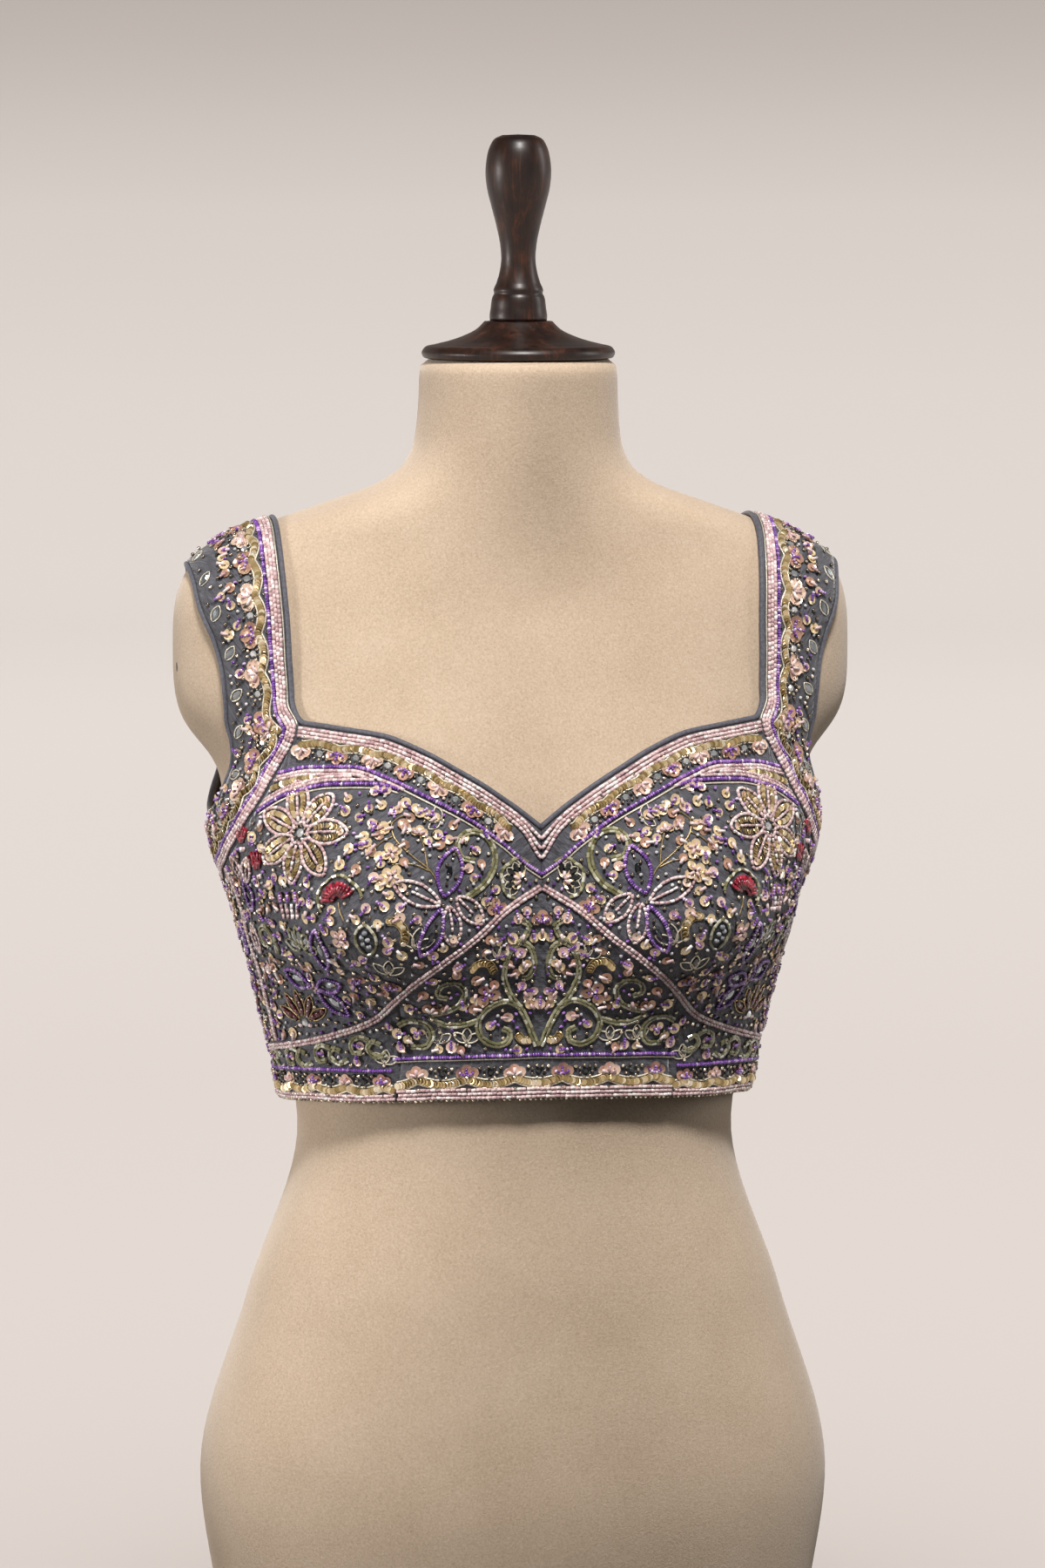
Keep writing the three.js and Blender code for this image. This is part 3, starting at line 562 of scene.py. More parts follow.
def panel(turns, bottom_turns, low, high, rows):
    """Straight columns in turn and height from a low curve to a high one, dropped on the skin."""
    up = np.linspace(0, 1, rows)[:, None]
    return skin_at_turn(between(bottom_turns, turns, up), between(low, high, up))


def cup():
    """From the underbust seam up to the neckline, then to the yoke seam."""
    turns = drawn_in(0, 90, [YOKE_START - 0.01, YOKE_START])
    high = np.where(turns < YOKE_START, neckline(turns), yoke_seam(turns) - seam_share(yoke_seam, turns))
    return panel(turns, turns, underbust(turns) + seam_share(underbust, turns), high, 48)


def midriff_centre():
    """From the hem up to the underbust seam, between the two princess seams, which lean."""
    half = drawn_in(0, PRINCESS_TOP, first_gap=False)
    turns = np.concatenate([-half[:0:-1], half])
    aside, lean = np.abs(turns), PRINCESS_BOTTOM / PRINCESS_TOP
    high = underbust(aside) - seam_share(underbust, np.maximum(aside, 0.5))
    return panel(turns, turns * lean, hem(aside * lean), high, 34)


def midriff_side():
    """From the hem up to the underbust seam, between the princess seam and the side seam."""
    turns = drawn_in(PRINCESS_TOP, 90)
    first, last = turns[[0, -1]]
    low_turns = between(first * PRINCESS_BOTTOM / PRINCESS_TOP, last, (turns - first) / (last - first))
    return panel(turns, low_turns, hem(low_turns), underbust(turns) - seam_share(underbust, turns), 24)


def back():
    """From the hem up to the armhole, the strap's end and the back neckline."""
    turns = drawn_in(90, 180, [STRAP_BACK_ARM, STRAP_BACK_NECK])
    under = (turns >= STRAP_BACK_ARM) & (turns <= STRAP_BACK_NECK)
    return panel(turns, turns, hem(turns), back_top(turns) - under * SEAM_GAP / 2, 56)


def strap_skin(columns=6):
    """Rows from the side seam, up the yoke, over the shoulder and down to the back panel; each row runs
    from the neck edge to the armhole edge."""
    across = np.linspace(0, 1, columns)
    seam, arm, arm_z = np.array(YOKE_ROWS, float).T[:, :, None]
    draw = np.where(seam == 90, gap_turn(*BACK_TOP[0]), 0)
    seam_z = yoke_seam(seam) + seam_share(yoke_seam, seam)
    yoke = skin_at_turn(between(seam, arm, across) - draw, between(seam_z, arm_z, across))
    step = np.linspace(0, len(STRAP_ROWS) - 1, 27)[1:, None]
    over = skin_at_lift(between(neck_side(step), arm_side(step), across),
                        between(neck_lift(step), arm_lift(step), across))
    end_turn = between(STRAP_BACK_NECK, STRAP_BACK_ARM, across)
    end = skin_at_turn(end_turn, back_top(end_turn) + SEAM_GAP / 2)
    return np.concatenate([yoke, over, end[None]])


def strap():
    """The front yoke and the band over the shoulder, in one."""
    return respaced(strap_skin(14), 130)


def wall(key, skin, mirrored, cut_at):
    """A closed wall over a grid of skin points: its face at the ease, its lining a wall's thickness in.
    Its flat coordinates are lengths along its rows and columns, from its own place on the cloth."""
    rows, columns = skin.shape[:2]
    face, normal = settle(skin)
    u, v = (np.cumsum(np.linalg.norm(np.diff(face, axis=axis), axis=-1), axis) for axis in (1, 0))
    u, v = np.pad(u, ((0, 0), (1, 0))), np.pad(v, ((1, 0), (0, 0)))
    uv = np.tile(np.stack([u - u.mean(), v], -1).reshape(-1, 2), (2, 1)) + cut_at
    index = np.arange(rows * columns).reshape(rows, columns)
    edge = np.concatenate([index[0], index[1:, -1], index[-1, -2::-1], index[-2:0:-1, 0]])
    after = np.roll(edge, -1)
    outer = grid_faces(rows, columns)
    rim = np.stack([edge, edge + index.size, after + index.size, after], -1)
    piece = to_object("silk_" + key, np.stack([face, face - normal * WALL]),
                      [outer, outer[:, ::-1] + index.size, rim], RAW_SILK, LINING, uv=uv, mirrored=mirrored)
    lined = np.arange(len(piece.data.polygons)) // len(outer) == 1
    piece.data.polygons.foreach_set("material_index", lined.astype(np.int32))
    return rides(piece, "raw_silk", key)


panels = {}
for side, mirrored in SIDES:
    for name, shape in (("cup", cup), ("midriff_side", midriff_side), ("back", back), ("strap", strap)):
        panels[f"{name}_{side}"] = wall(f"{name}_{side}", shape(), mirrored, CUT_APART * len(panels))
panels["midriff_centre"] = wall("midriff_centre", midriff_centre(), False, CUT_APART * 10)


# ---- piping
CORD_SIDES, CORD_STEP = 10, 1.3


def line_at(curve, first, last, count, offset=0.0):
    """A line on the skin at even turns along a curve of heights, moved up by an offset."""
    turns = np.linspace(first, last, count)
    return skin_at_turn(turns, curve(np.abs(turns)) + offset)


def side_of(points, sign):
    """Directions across a line lying on the form: along it, crossed with the skin's normal."""
    return sign * unit(np.cross(np.gradient(points, axis=0), unit(gradient(points))))


def tube(centres, out, normal, radius, sides):
    """A ring of points round each centre in the plane of two directions."""
    angle = np.linspace(0, 2 * np.pi, sides, endpoint=False)[:, None]
    spread = out[..., None, :] * np.cos(angle) + normal[..., None, :] * np.sin(angle)
    return centres[..., None, :] + np.asarray(radius)[..., None, None] * spread


def ringed(rows, sides):
    """Faces of rings in a row, the last of which is joined to the first."""
    return grid_faces(rows + 1, sides, wrap=True) % (rows * sides)


def piping(key, edge, sign, mirrored, closed):
    """A cord beside an edge: its centre a radius and a seam gap off, a little below the cloth's face. An
    open one is trimmed to half a gap from the middle and its ends are closed."""
    line = respaced(np.concatenate([edge, edge[:closed]]), step=CORD_STEP)
    line = line[:len(line) - closed]
    face, normal = settle(line)
    out = side_of(line, sign)
    if closed:
        out = sign * unit(np.cross(np.roll(line, -1, 0) - np.roll(line, 1, 0), normal))
    centres = face - normal * PIPING_RISE + out * (PIPING_RADIUS + SEAM_GAP)
    points = tube(centres, out, normal, PIPING_RADIUS, CORD_SIDES)
    around = np.linspace(0, 2 * np.pi * PIPING_RADIUS, CORD_SIDES)
    uv = np.stack(np.broadcast_arrays(around, travelled(centres)[:, None]), -1).reshape(-1, 2)
    faces = [ringed(len(line), CORD_SIDES)]
    if not closed:
        run = unit(np.gradient(centres, axis=0))
        for end in (0, -1):
            points[end] += run[end] * ((SEAM_GAP / 2 - points[end, :, 0]) / run[end, 0])[:, None]
        faces = capped(len(line), CORD_SIDES)
        points = np.concatenate([points.reshape(-1, 3), points[[0, -1]].mean(1)])
        uv = np.concatenate([uv, uv[[0, -1]]])
    faces = [f[:, ::sign] for f in faces]
    cord = to_object("cord" + key, points, faces, CORD, uv=uv, mirrored=mirrored)
    return rides(cord, "piping", "piping" + key)


strap_rows = strap_skin()
neck_back = line_at(back_top, STRAP_BACK_NECK, 180, 50)[1:]
neck_edge = np.concatenate([line_at(neckline, 0, YOKE_START, 60)[:-1], strap_rows[7:-1, 0], neck_back])
arm_edge = np.concatenate([strap_rows[:, -1], line_at(back_top, STRAP_BACK_ARM, 90, 16)[1:-1]])
cords = {side: [piping("_neck_" + side, neck_edge, -1, mirrored, False),
                piping("_armhole_" + side, arm_edge, 1, mirrored, True)] for side, mirrored in SIDES}


# ---- one bead, sequin or stone
def washer(outline, *levels):
    """Copies of a flat outline at levels of scale and height, the last joined to the first round a hole."""
    return cut(outline, *levels)[0][:-2], [ringed(len(levels), len(outline))]


def spun(sides, *levels):
    """A round bead from levels of radius and place along its thread."""
    points, faces = cut(circle(sides), *levels)
    return np.roll(points, 1, axis=1), faces


def tipped(shape, degrees):
    """The shape turned about the line across its thread, so that its leading edge lifts."""
    a = np.radians(degrees)
    x, y, z = shape[0].T
    return np.stack([x * np.cos(a) - z * np.sin(a), y, x * np.sin(a) + z * np.cos(a)], -1), shape[1]


POINTED = np.stack([circle(8)[:, 0], [0, 0.62, 1, 0.62, 0, -0.62, -1, -0.62]], -1)
SEED = spun(6, (0.27, -0.5), (0.52, 0), (0.27, 0.5))
BUGLE = spun(6, (0.5, -0.5), (0.5, 0.5))
PEARL = spun(8, (0.2, -0.46), (0.43, -0.25), (0.43, 0.25), (0.2, 0.46))
COIN = tipped(cut(circle(10) / 2, (1, 0), (0.94, 0.07)), 27)
CUP_SEQUIN = washer(circle(9) / 2, (0.2, 0.02), (1, 0.17), (0.62, 0.1), (0.2, 0.06))
MARQUISE = cut(POINTED / 2, (1, 0), (1, 0.12), (0.55, 0.3))
CHATON = cut(circle(8) / 2, (1, 0), (1, 0.15), (0.55, 0.4))

# kind: shape, length, width and height in mm, height of its middle or foot off the cloth, smooth shading,
# how far it may lean from the cloth, as a share of its height
KINDS = {
    "pink_bugle": (BUGLE, (2.5, 1.95, 1.8), 0.8, True, 0.06),
    "purple_seed": (SEED, (1.35, 2.35, 2.2), 0.9, True, 0.06),
    "olive_bugle": (BUGLE, (2.75, 1.75, 1.6), 0.7, False, 0.08),
    "red_bugle": (BUGLE, (4.4, 1.6, 1.5), 0.8, True, 0.06),
    "gunmetal_bead": (SEED, (1.8, 2.3, 2.1), 0.9, True, 0.1),
    "clear_bead": (SEED, (1.6, 2.1, 1.8), 0.8, True, 0.1),
    "grey_pearl": (PEARL, (2.9, 2.9, 2.7), 1.2, True, 0.06),
    "gold_coin": (COIN, (4.2, 4.2, 4.2), 0.9, False, 0.17),
    "cup_sequin": (CUP_SEQUIN, (6.0, 6.0, 6.0), 0.2, False, 0.15),
    "black_marquise": (MARQUISE, (6.4, 3.3, 5.0), 0.05, False, 0.05),
    "mirror_marquise": (MARQUISE, (7.4, 3.7, 3.4), 0.05, False, 0.1),
    "black_chaton": (CHATON, (3.6, 3.6, 3.2), 0.05, False, 0.05),
    "clear_chaton": (CHATON, (3.8, 3.8, 3.2), 0.05, False, 0.08),
}
trays = {kind: [] for kind in KINDS}
wires = {"cream_wire": [], "gold_wire": []}
WIRE_STEP = 0.7
TONE_SPREAD = 0.06


def sew(kind, points, along, lift=0.0, grow=1.0, tone=None, once=False):
    """Adds beads of a kind at guide points, each lying along a direction. Grow scales their size."""
    n = len(points)
    tone = rng.random(n) if tone is None else tone + rng.uniform(-TONE_SPREAD, TONE_SPREAD, n)
    trays[kind].append((points, np.broadcast_to(along, points.shape), np.broadcast_to(lift, n),
                        np.broadcast_to(np.asarray(grow, float), (n, 3)), tone, np.full(n, once)))


def couch(kind, lines, lift=0.0, radius=0.5, once=False):
    """Adds wires laid on the cloth along guide lines, an array of lines by points by three."""
    wires[kind].append((lines, lift, radius, once))


def read(values, length, at):
    """Rows of values at distances travelled, on straight lines from row to row."""
    return np.stack([np.interp(at, length, column) for column in values.T], -1)


def spaced(line, pitch):
    """Places about a pitch apart along a line of points, with the line's direction at each."""
    line = np.asarray(line, float)
    length = travelled(line)
    count = max(int(round(length[-1] / pitch)), 1)
    at = (np.arange(count) + 0.5) * length[-1] / count
    middle, ahead, behind = (read(line, length, at + step) for step in (0, pitch / 4, -pitch / 4))
    return middle, unit(ahead - behind)


def strung(kind, line, pitch, **more):
    """Beads threaded along a guide line on the cloth."""
    sew(kind, *spaced(line, pitch), **more)


def edged(line, **more):
    """Pale wire laid along a guide line on the cloth."""
    couch("cream_wire", spaced(line, WIRE_STEP)[0][None], **more)


# ---- flat frames for the motifs
def turned_frame(origin, aside, up, spin):
    """Origins with two unit directions, spun anticlockwise by an angle in degrees."""
    a = np.radians(np.broadcast_to(spin, len(origin)))[:, None]
    return origin, aside * np.cos(a) + up * np.sin(a), up * np.cos(a) - aside * np.sin(a)


def upright(origin, spin):
    """Frames at points on the skin: the first direction runs round the body, the second up it."""
    normal = unit(gradient(origin))
    up = unit(np.array([0, 0, 1.0]) - normal * normal[:, 2:])
    return turned_frame(origin, np.cross(up, normal), up, spin)


def spot(turn, z, spin=0.0):
    """An upright frame on the skin at a turn and height."""
    return upright(skin_at_turn([turn], [z]), spin)


def shifted(frames, x, y, spin=0.0):
    """Frames moved and spun within their own flat plane."""
    origin, aside, up = frames
    return turned_frame(origin + aside * x + up * y, aside, up, spin)


class Edge:
    """A smoothed line on the skin with the direction that runs from it into the cloth."""

    def __init__(self, points, sign):
        self.line = respaced(points)
        self.length = travelled(self.line)
        self.along = unit(np.gradient(self.line, axis=0))
        self.into = side_of(self.line, sign)

    def inset(self, distance, first=0.0, last=np.inf):
        """The line between two lengths, moved into the cloth by a distance, one for all or one a point."""
        keep = (self.length >= first) & (self.length <= last)
        return (self.line + self.into * np.broadcast_to(distance, len(keep))[:, None])[keep]

    def frames(self, at, distance, spin=0.0):
        """Frames at distances along and into the cloth: along the edge, then into the cloth."""
        at = np.atleast_1d(at)
        line, along, into = (read(values, self.length, at) for values in (self.line, self.along, self.into))
        into = unit(into)
        origin = line + into * np.broadcast_to(distance, len(at))[:, None]
        return turned_frame(origin, unit(along), into, spin)


def carried(frames, flat):
    """Flat points carried into every frame: an array of frames by points by three."""
    origin, aside, up = (part[:, None] for part in frames)
    flat = np.atleast_2d(flat)
    return origin + aside * flat[None, :, :1] + up * flat[None, :, 1:]


def put(kind, frames, flat, degrees, **more):
    """The same beads in every frame, each at a flat point and lying at an angle."""
    flat = np.atleast_2d(flat)
    a = np.radians(np.broadcast_to(degrees, len(flat)))[None, :, None]
    _, aside, up = (part[:, None] for part in frames)
    along = aside * np.cos(a) + up * np.sin(a)
    sew(kind, carried(frames, flat).reshape(-1, 3), along.reshape(-1, 3), **more)


def draw(kind, frames, flat, pitch, **more):
    """Beads threaded along the same flat line in every frame."""
    points, along = spaced(flat, pitch)
    put(kind, frames, points, np.degrees(np.arctan2(along[:, 1], along[:, 0])), **more)


def bend(kind, frames, flat, **more):
    """The same flat line in wire in every frame."""
    length = travelled(np.asarray(flat, float))[-1]
    couch(kind, carried(frames, spaced(flat, length / max(int(length / WIRE_STEP), 4))[0]), **more)


def ray(degrees, distance):
    """A flat point at a distance in a direction."""
    a = np.radians(degrees)
    return np.stack([np.cos(a) * distance, np.sin(a) * distance], -1)


LEAF_ROWS = 26


def leaf_line(length, width, blunt=0.85, start=(0, 0), degrees=90):
    """A pointed leaf from its foot: half its width times a power of the sine along it, on both sides."""
    t = np.linspace(0, 1, LEAF_ROWS)
    right = np.stack([length * t, -width / 2 * np.sin(np.pi * t) ** blunt], -1)
    line = np.concatenate([right, (right * [1, -1])[::-1]])
    (cosine, sine), = ray([degrees], 1)
    return line @ np.array([[cosine, sine], [-sine, cosine]]) + start


def beside(line, distance):
    """A flat line moved to its left."""
    ahead = unit(np.gradient(line, axis=0))
    return line + np.stack([-ahead[:, 1], ahead[:, 0]], -1) * distance


def soft_line(*points):
    """A flat curve through a few given points."""
    return respaced(points, 12 * len(points))


# ---- motifs, in millimetres
GOLD, PEACH, COPPER = 0.1, 0.5, 0.9
BUGLE_STEP, SEED_STEP, COIN_STEP = 2.5, 1.3, 1.5
# kind of flower: its sequins' angles, how far out and how large they are, then how far out, long and
# thick its pink bugles are, or how far out its purple seeds are
FLOWERS = {
    "berry": ([90], 0, 1, -2.1, 1.75, 0.9, (0.3, -1.1, -2.5, -3.9)),
    "fan": ([28, 90, 152], 3.5, 1, 2.3, 1.5, 0.85, (0.9, 2.3, 3.7)),
    "trefoil": ([45, 165, 285], 3.3, 0.95, 1.9, 1.15, 0.85, (1.0, 2.4)),
    "blossom": ([45, 135, 225, 315], 3.3, 0.95, 1.9, 1.15, 0.85, (1.0, 2.4)),
}


def flower(frames, kind, stamen="pink", tone=GOLD, size=1.0, **more):
    """Sequins round a foot, each under a stamen: one pink bugle or a row of purple seeds."""
    angles, out, width, reach, length, thick, seeds = FLOWERS[kind]
    put("cup_sequin", frames, ray(angles, out * size), 0, tone=tone, grow=size * width, **more)
    if stamen == "pink":
        put("pink_bugle", frames, ray(angles, reach * size), angles, lift=0.9,
            grow=(length * size, thick, thick), **more)
    else:
        turn = np.repeat(angles, len(seeds))
        put("purple_seed", frames, ray(turn, np.tile(seeds, len(angles)) * size), turn, lift=0.8,
            grow=(0.95, 0.8, 0.8), **more)


def stone_ring(frames, stone="clear_chaton", beads=7, reach=3.3, small=0.85, large=1.0, **more):
    """A faceted round stone in a ring of small dark beads."""
    put(stone, frames, [(0, 0)], 0, grow=large, **more)
    angles = np.arange(beads) * 360 / beads
    put("gunmetal_bead", frames, ray(angles, reach), angles + 90, grow=small, **more)


def almond(frames, length=20, width=10, stone="black_marquise"):
    """A pointed leaf outlined in purple seeds round a pointed stone, with a bead at each end of it."""
    draw("purple_seed", frames, leaf_line(length, width), SEED_STEP)
    put(stone, frames, [(0, length * 0.5)], 90)
    put("gunmetal_bead", frames, [(0, length * 0.25), (0, length * 0.76)], 0, grow=0.8)


def loop_leaf(frames, length, width):
    """A pink bugle loop with a rib down it and a sequin at its tip."""
    draw("pink_bugle", frames, leaf_line(length, width, 0.7), BUGLE_STEP, grow=(0.95, 0.9, 0.9))
    draw("pink_bugle", frames, [(0, 1), (0, length * 0.6)], BUGLE_STEP, grow=(0.95, 0.75, 0.8))
    put("cup_sequin", frames, [(0, length * 0.8)], 0, tone=PEACH, lift=0.4, grow=0.8)


def daisy(frames, petals=7, length=27.5, width=12.6):
    """Petals outlined in pink bugles over two columns of overlapped sequins and a pink rib, round a stone."""
    for k in range(petals):
        angle = k * 360 / petals + 12
        reach = length * (1.0 + 0.06 * np.sin(2.3 * k))
        outline = leaf_line(reach - 4.5, width, 0.62, ray(angle, 4.5), angle)
        draw("pink_bugle", frames, outline, 2.6, grow=(1, 0.95, 0.95))
        rib = ray(angle, np.array([6.0, reach - 6.5]))
        draw("pink_bugle", frames, rib, 2.6, lift=0.3, grow=(1, 0.8, 0.8))
        columns = leaf_line(reach - 9, width * 0.52, 0.7, ray(angle, 6.5), angle)
        for half in (columns[:LEAF_ROWS], columns[LEAF_ROWS:][::-1]):
            draw("gold_coin", frames, half[3:-3], COIN_STEP, grow=0.78)
        put("cup_sequin", frames, ray(angle, reach - 4.2), 0, tone=PEACH, lift=0.3, grow=0.72)
    stone_ring(frames, "clear_chaton", 8, 3.7, 0.8, 1.25)


def scallops(frames, first, last, radius, base, swing, waves):
    """An arc of olive bugles whose radius swells and falls in waves."""
    t = np.linspace(first, last, 60)
    draw("olive_bugle", frames, ray(t, radius * (base + swing * np.abs(np.sin(np.radians(t) * waves)))), 2.4)


def glass_fan(frames, radius):
    """Long red bugles fanned from a foot and heaped in layers, inside a scalloped olive outline."""
    angles = np.linspace(18, 162, 11)
    for reach, lift in ((0.42, 0.2), (0.68, 0.5), (0.55, 1.4)):
        put("red_bugle", frames, ray(angles + lift * 6, radius * reach), angles + 8 * np.sin(angles * 3),
            lift=lift, grow=(1.1, 1.15, 1.1))
    scallops(frames, -8, 188, radius, 1.08, 0.09, 2.5)
    bend("gold_wire", frames, [(0, 0), (0.6, -5), (0, -11)])


def red_burst(frames, length=13.0):
    """Five red strokes fanned from a foot, with two pink bugles under them."""
    angles = np.array([58, 74, 90, 106, 122])
    for share in (0.35, 0.68):
        put("red_bugle", frames, ray(angles, length * share), angles, grow=(1.15, 1.1, 1.1))
    put("pink_bugle", frames, [(-1.2, -2), (1.2, -2)], 90)


def lotus(frames, length):
    """Five dark red petals, each edged in wire, in a fan round a pale stone, with beads between them."""
    for angle in (26, 58, 90, 122, 154):
        bend("gold_wire", frames, leaf_line(length - 4, 5.5, 0.8, ray(angle, 3.2), angle))
        draw("red_bugle", frames, ray(angle, np.array([5, length - 3])), 4.2, grow=(1, 2.0, 0.9), tone=0.05)
    for angle in (42, 74, 106, 138):
        put("gunmetal_bead", frames, ray(angle, length * 0.72), 0)
    put("clear_chaton", frames, [(0, 0)], 0, grow=1.15)
    put("pink_bugle", frames, [(-3.5, -1.5), (3.5, -1.5)], 15)


def crown(frames):
    """A tulip: four upright pink bugle pairs below three copper sequins that hold purple seeds."""
    across = np.array([-6.3, -2.1, 2.1, 6.3])
    for row in (0, 2.6, 5.2):
        at = np.stack([across * (1 + row * 0.02), 0 * across + row], -1)
        put("pink_bugle", frames, at, 90 - across * 2)
    put("cup_sequin", frames, [(-6.5, 10), (0, 10), (6.5, 10)], 0, tone=COPPER)
    for row in (7.8, 9.2, 10.6, 12):
        at = [(-6.5, row), (0, row), (6.5, row)]
        put("purple_seed", frames, at, 90, lift=0.7, grow=(1, 0.85, 0.85))


def glass_leaves(frames, length=11.0):
    """Five leaves of olive bugles in a fan, each with a pointed mirror in it."""
    for angle in (14, 52, 90, 128, 166):
        draw("olive_bugle", frames, leaf_line(length, 5.6, 0.7, ray(angle, 2.0), angle), 2.6,
             grow=(0.9, 0.8, 0.8))
        put("mirror_marquise", frames, ray(angle, 2.0 + length / 2), angle, grow=(0.9, 0.8, 1.0))


def dark_fan(frames, petals=6, radius=9.0):
    """Pointed black stones, each in a wire bezel, fanned inside a scalloped olive outline."""
    angles, out = np.linspace(12, 168, petals), radius * 0.66
    put("black_marquise", frames, ray(angles, out), angles)
    for angle in angles:
        bend("cream_wire", frames, leaf_line(7.4, 4.2, 0.8, ray(angle, out - 3.7), angle), radius=0.42)
    scallops(frames, -4, 184, radius, 1.12, 0.1, 3)
    flower(frames, "fan")


def pearl_leaf(frames, length=17.0, width=11.0):
    """An olive leaf outline with grey pearls inside it."""
    draw("olive_bugle", frames, leaf_line(length, width, 0.6), 2.3)
    put("grey_pearl", frames, [(-1.6, 5.6), (1.3, 6.8), (-1.3, 9.2), (1.7, 10.4), (0, 12.8)], 0)


def star_leaf(frames, length=9.0, size=1.0):
    """A four-pointed leaf in pale wire round a pointed black stone."""
    for angle in (90, 38, 142):
        bend("cream_wire", frames, leaf_line(length * size, 4.4 * size, 0.8, (0, 0), angle), radius=0.45)
    put("black_marquise", frames, [(0, length * size * 0.52)], 90, grow=0.85 * size)
    put("gunmetal_bead", frames, [(0, -1.2)], 0, grow=0.9)


def twin_rows(frames, flat, gap):
    """Two rows of olive bugles side by side along a flat curve."""
    for hand in (-gap, gap):
        draw("olive_bugle", frames, beside(flat, hand), 2.75)


def vine(frames, *points, gap=0.85):
    """Twin rows along a soft line."""
    twin_rows(frames, soft_line(*points), gap)


def coiled(frames, radius, turns, start, gap):
    """Twin rows in a spiral: an angle that runs on while the radius falls to a share of what it was."""
    t = np.linspace(0, 1, 50)
    twin_rows(frames, ray(start + t * turns * 360, radius * (1 - 0.78 * t)), gap)


def coil_leaf(frames, *points):
    """A bent rib of overlapped gold sequins in a wire outline."""
    flat = soft_line(*points)
    draw("gold_coin", frames, flat, 1.6, grow=0.8)
    for hand in (-1.9, 1.9):
        bend("gold_wire", frames, beside(flat, hand), radius=0.45)


def mirror(frames):
    """A pointed mirror in a wire bezel."""
    put("mirror_marquise", frames, [(0, 0)], 0)
    bend("cream_wire", frames, leaf_line(8.6, 4.8, 0.75, (-4.3, 0), 0), radius=0.42)


# ---- borders along the edges
FIRST_ROW, ROW = 1.3, 1.9  # of pink bugles: how far in, and how far apart
# from the scallops' line: the wires aside, a flower in, the bead beyond it out, a stone in, its two beads
WIRE_ASIDE, FLOWER_IN, BEAD_OUT, STONE_IN, STONE_BEADS = 2.3, 1.6, 2.6, 3.2, ((-5.2, 2.6), (5.2, 2.6))

inner_edge = Edge(np.concatenate([strap_rows[:, 0], neck_back]), 1)
neck_line = Edge(line_at(neckline, 0, 60.2, 80), 1)
arm_line = Edge(strap_rows[:, -1], -1)
hem_middle = Edge(line_at(hem, -42.6, 42.6, 81), -1)
hem_round = Edge(line_at(hem, 43.2, 180, 120), -1)
bust_seam = Edge(line_at(underbust, 0, 90, 90), -1)
YOKE_END = float(travelled(respaced(strap_rows[:7, 0]))[-1])


def scalloped(edge, depth, dip, pitch, phase, first, last, flower_size, stone, alternate=0, **more):
    """Overlapped gold sequins between two wires, swinging towards the edge between cusps a pitch apart.
    A flower stands on each cusp and a ringed stone between them. Depth is the cusps' distance in."""
    swing = depth - dip * np.abs(np.sin(np.pi * (edge.length - phase) / pitch))
    strung("gold_coin", edge.inset(swing, first, last), COIN_STEP, grow=0.9, **more)
    for hand in (-WIRE_ASIDE, WIRE_ASIDE):
        edged(edge.inset(swing + hand, first, last), radius=0.58, **more)
    cusps = phase + pitch * np.arange(np.ceil((first - phase) / pitch), np.floor((last - phase) / pitch) + 1)
    for k, at in enumerate(cusps, alternate):
        look = ("purple", COPPER) if k % 2 else ("pink", PEACH)
        flower(edge.frames(at, depth + FLOWER_IN), "fan", *look, flower_size, **more)
        beyond = edge.frames(at, depth - dip - BEAD_OUT)
        sew("gunmetal_bead", *beyond[:2], **more)
    frames = edge.frames(cusps[:-1] + pitch / 2, depth + STONE_IN)
    stone_ring(frames, stone, **more)
    for at in STONE_BEADS:
        put("gunmetal_bead", frames, at, 0, **more)


def pink_rows(edge, depths, first, last, **more):
    """Rows of pink bugles at depths into the cloth, every other row half a bead on."""
    for k, depth in enumerate(depths):
        strung("pink_bugle", edge.inset(depth, first, last)[k % 2:], BUGLE_STEP, **more)


def neckline_border():
    """Three pink rows that draw down into the point of the neckline, a scalloped band and flowers."""
    turns = np.linspace(0, 60, 160)
    run = np.gradient(skin_at_turn(turns, neckline(turns)), axis=0)
    lean = np.linalg.norm(run, axis=1) / np.hypot(run[:, 0], run[:, 1])
    for depth in FIRST_ROW + ROW * np.arange(3):
        drop = depth * (lean + 1.45 * np.exp(-(turns / 3.5) ** 2))
        strung("pink_bugle", skin_at_turn(turns, neckline(turns) - drop), BUGLE_STEP)
    scalloped(neck_line, 9.9, 1.9, 20.0, 16, 13, neck_line.length[-1] - 3, 1.0, "clear_chaton")


def purple_lines():
    """The upper line from the point of the neckline to the strap, and the lower one that leaves it, with
    pink rows, a wedge of sequins and wires between them."""
    for kind, step, rows in (
            ("purple_seed", SEED_STEP, ((upper_line, 0, 63, 120, 0), (lower_line, 35, 66.4, 80, 0))),
            ("pink_bugle", BUGLE_STEP, ((upper_line, 34, 63, 60, -2.1), (upper_line, 42, 63.5, 60, -3.9),
                                        (lower_line, 41, 65.8, 60, 2.1), (lower_line, 46, 65, 60, 3.9)))):
        for row in rows:
            strung(kind, line_at(*row), step)
    wedge = line_at(lambda turn: (upper_line(turn) + lower_line(turn)) / 2, 54, 63.6, 20)
    strung("gold_coin", wedge, COIN_STEP, grow=0.8)
    edged(line_at(upper_line, 0, 35, 80, -2.3), radius=0.58)
    edged(line_at(lower_line, 35, 66, 70, -2.0), radius=0.58)


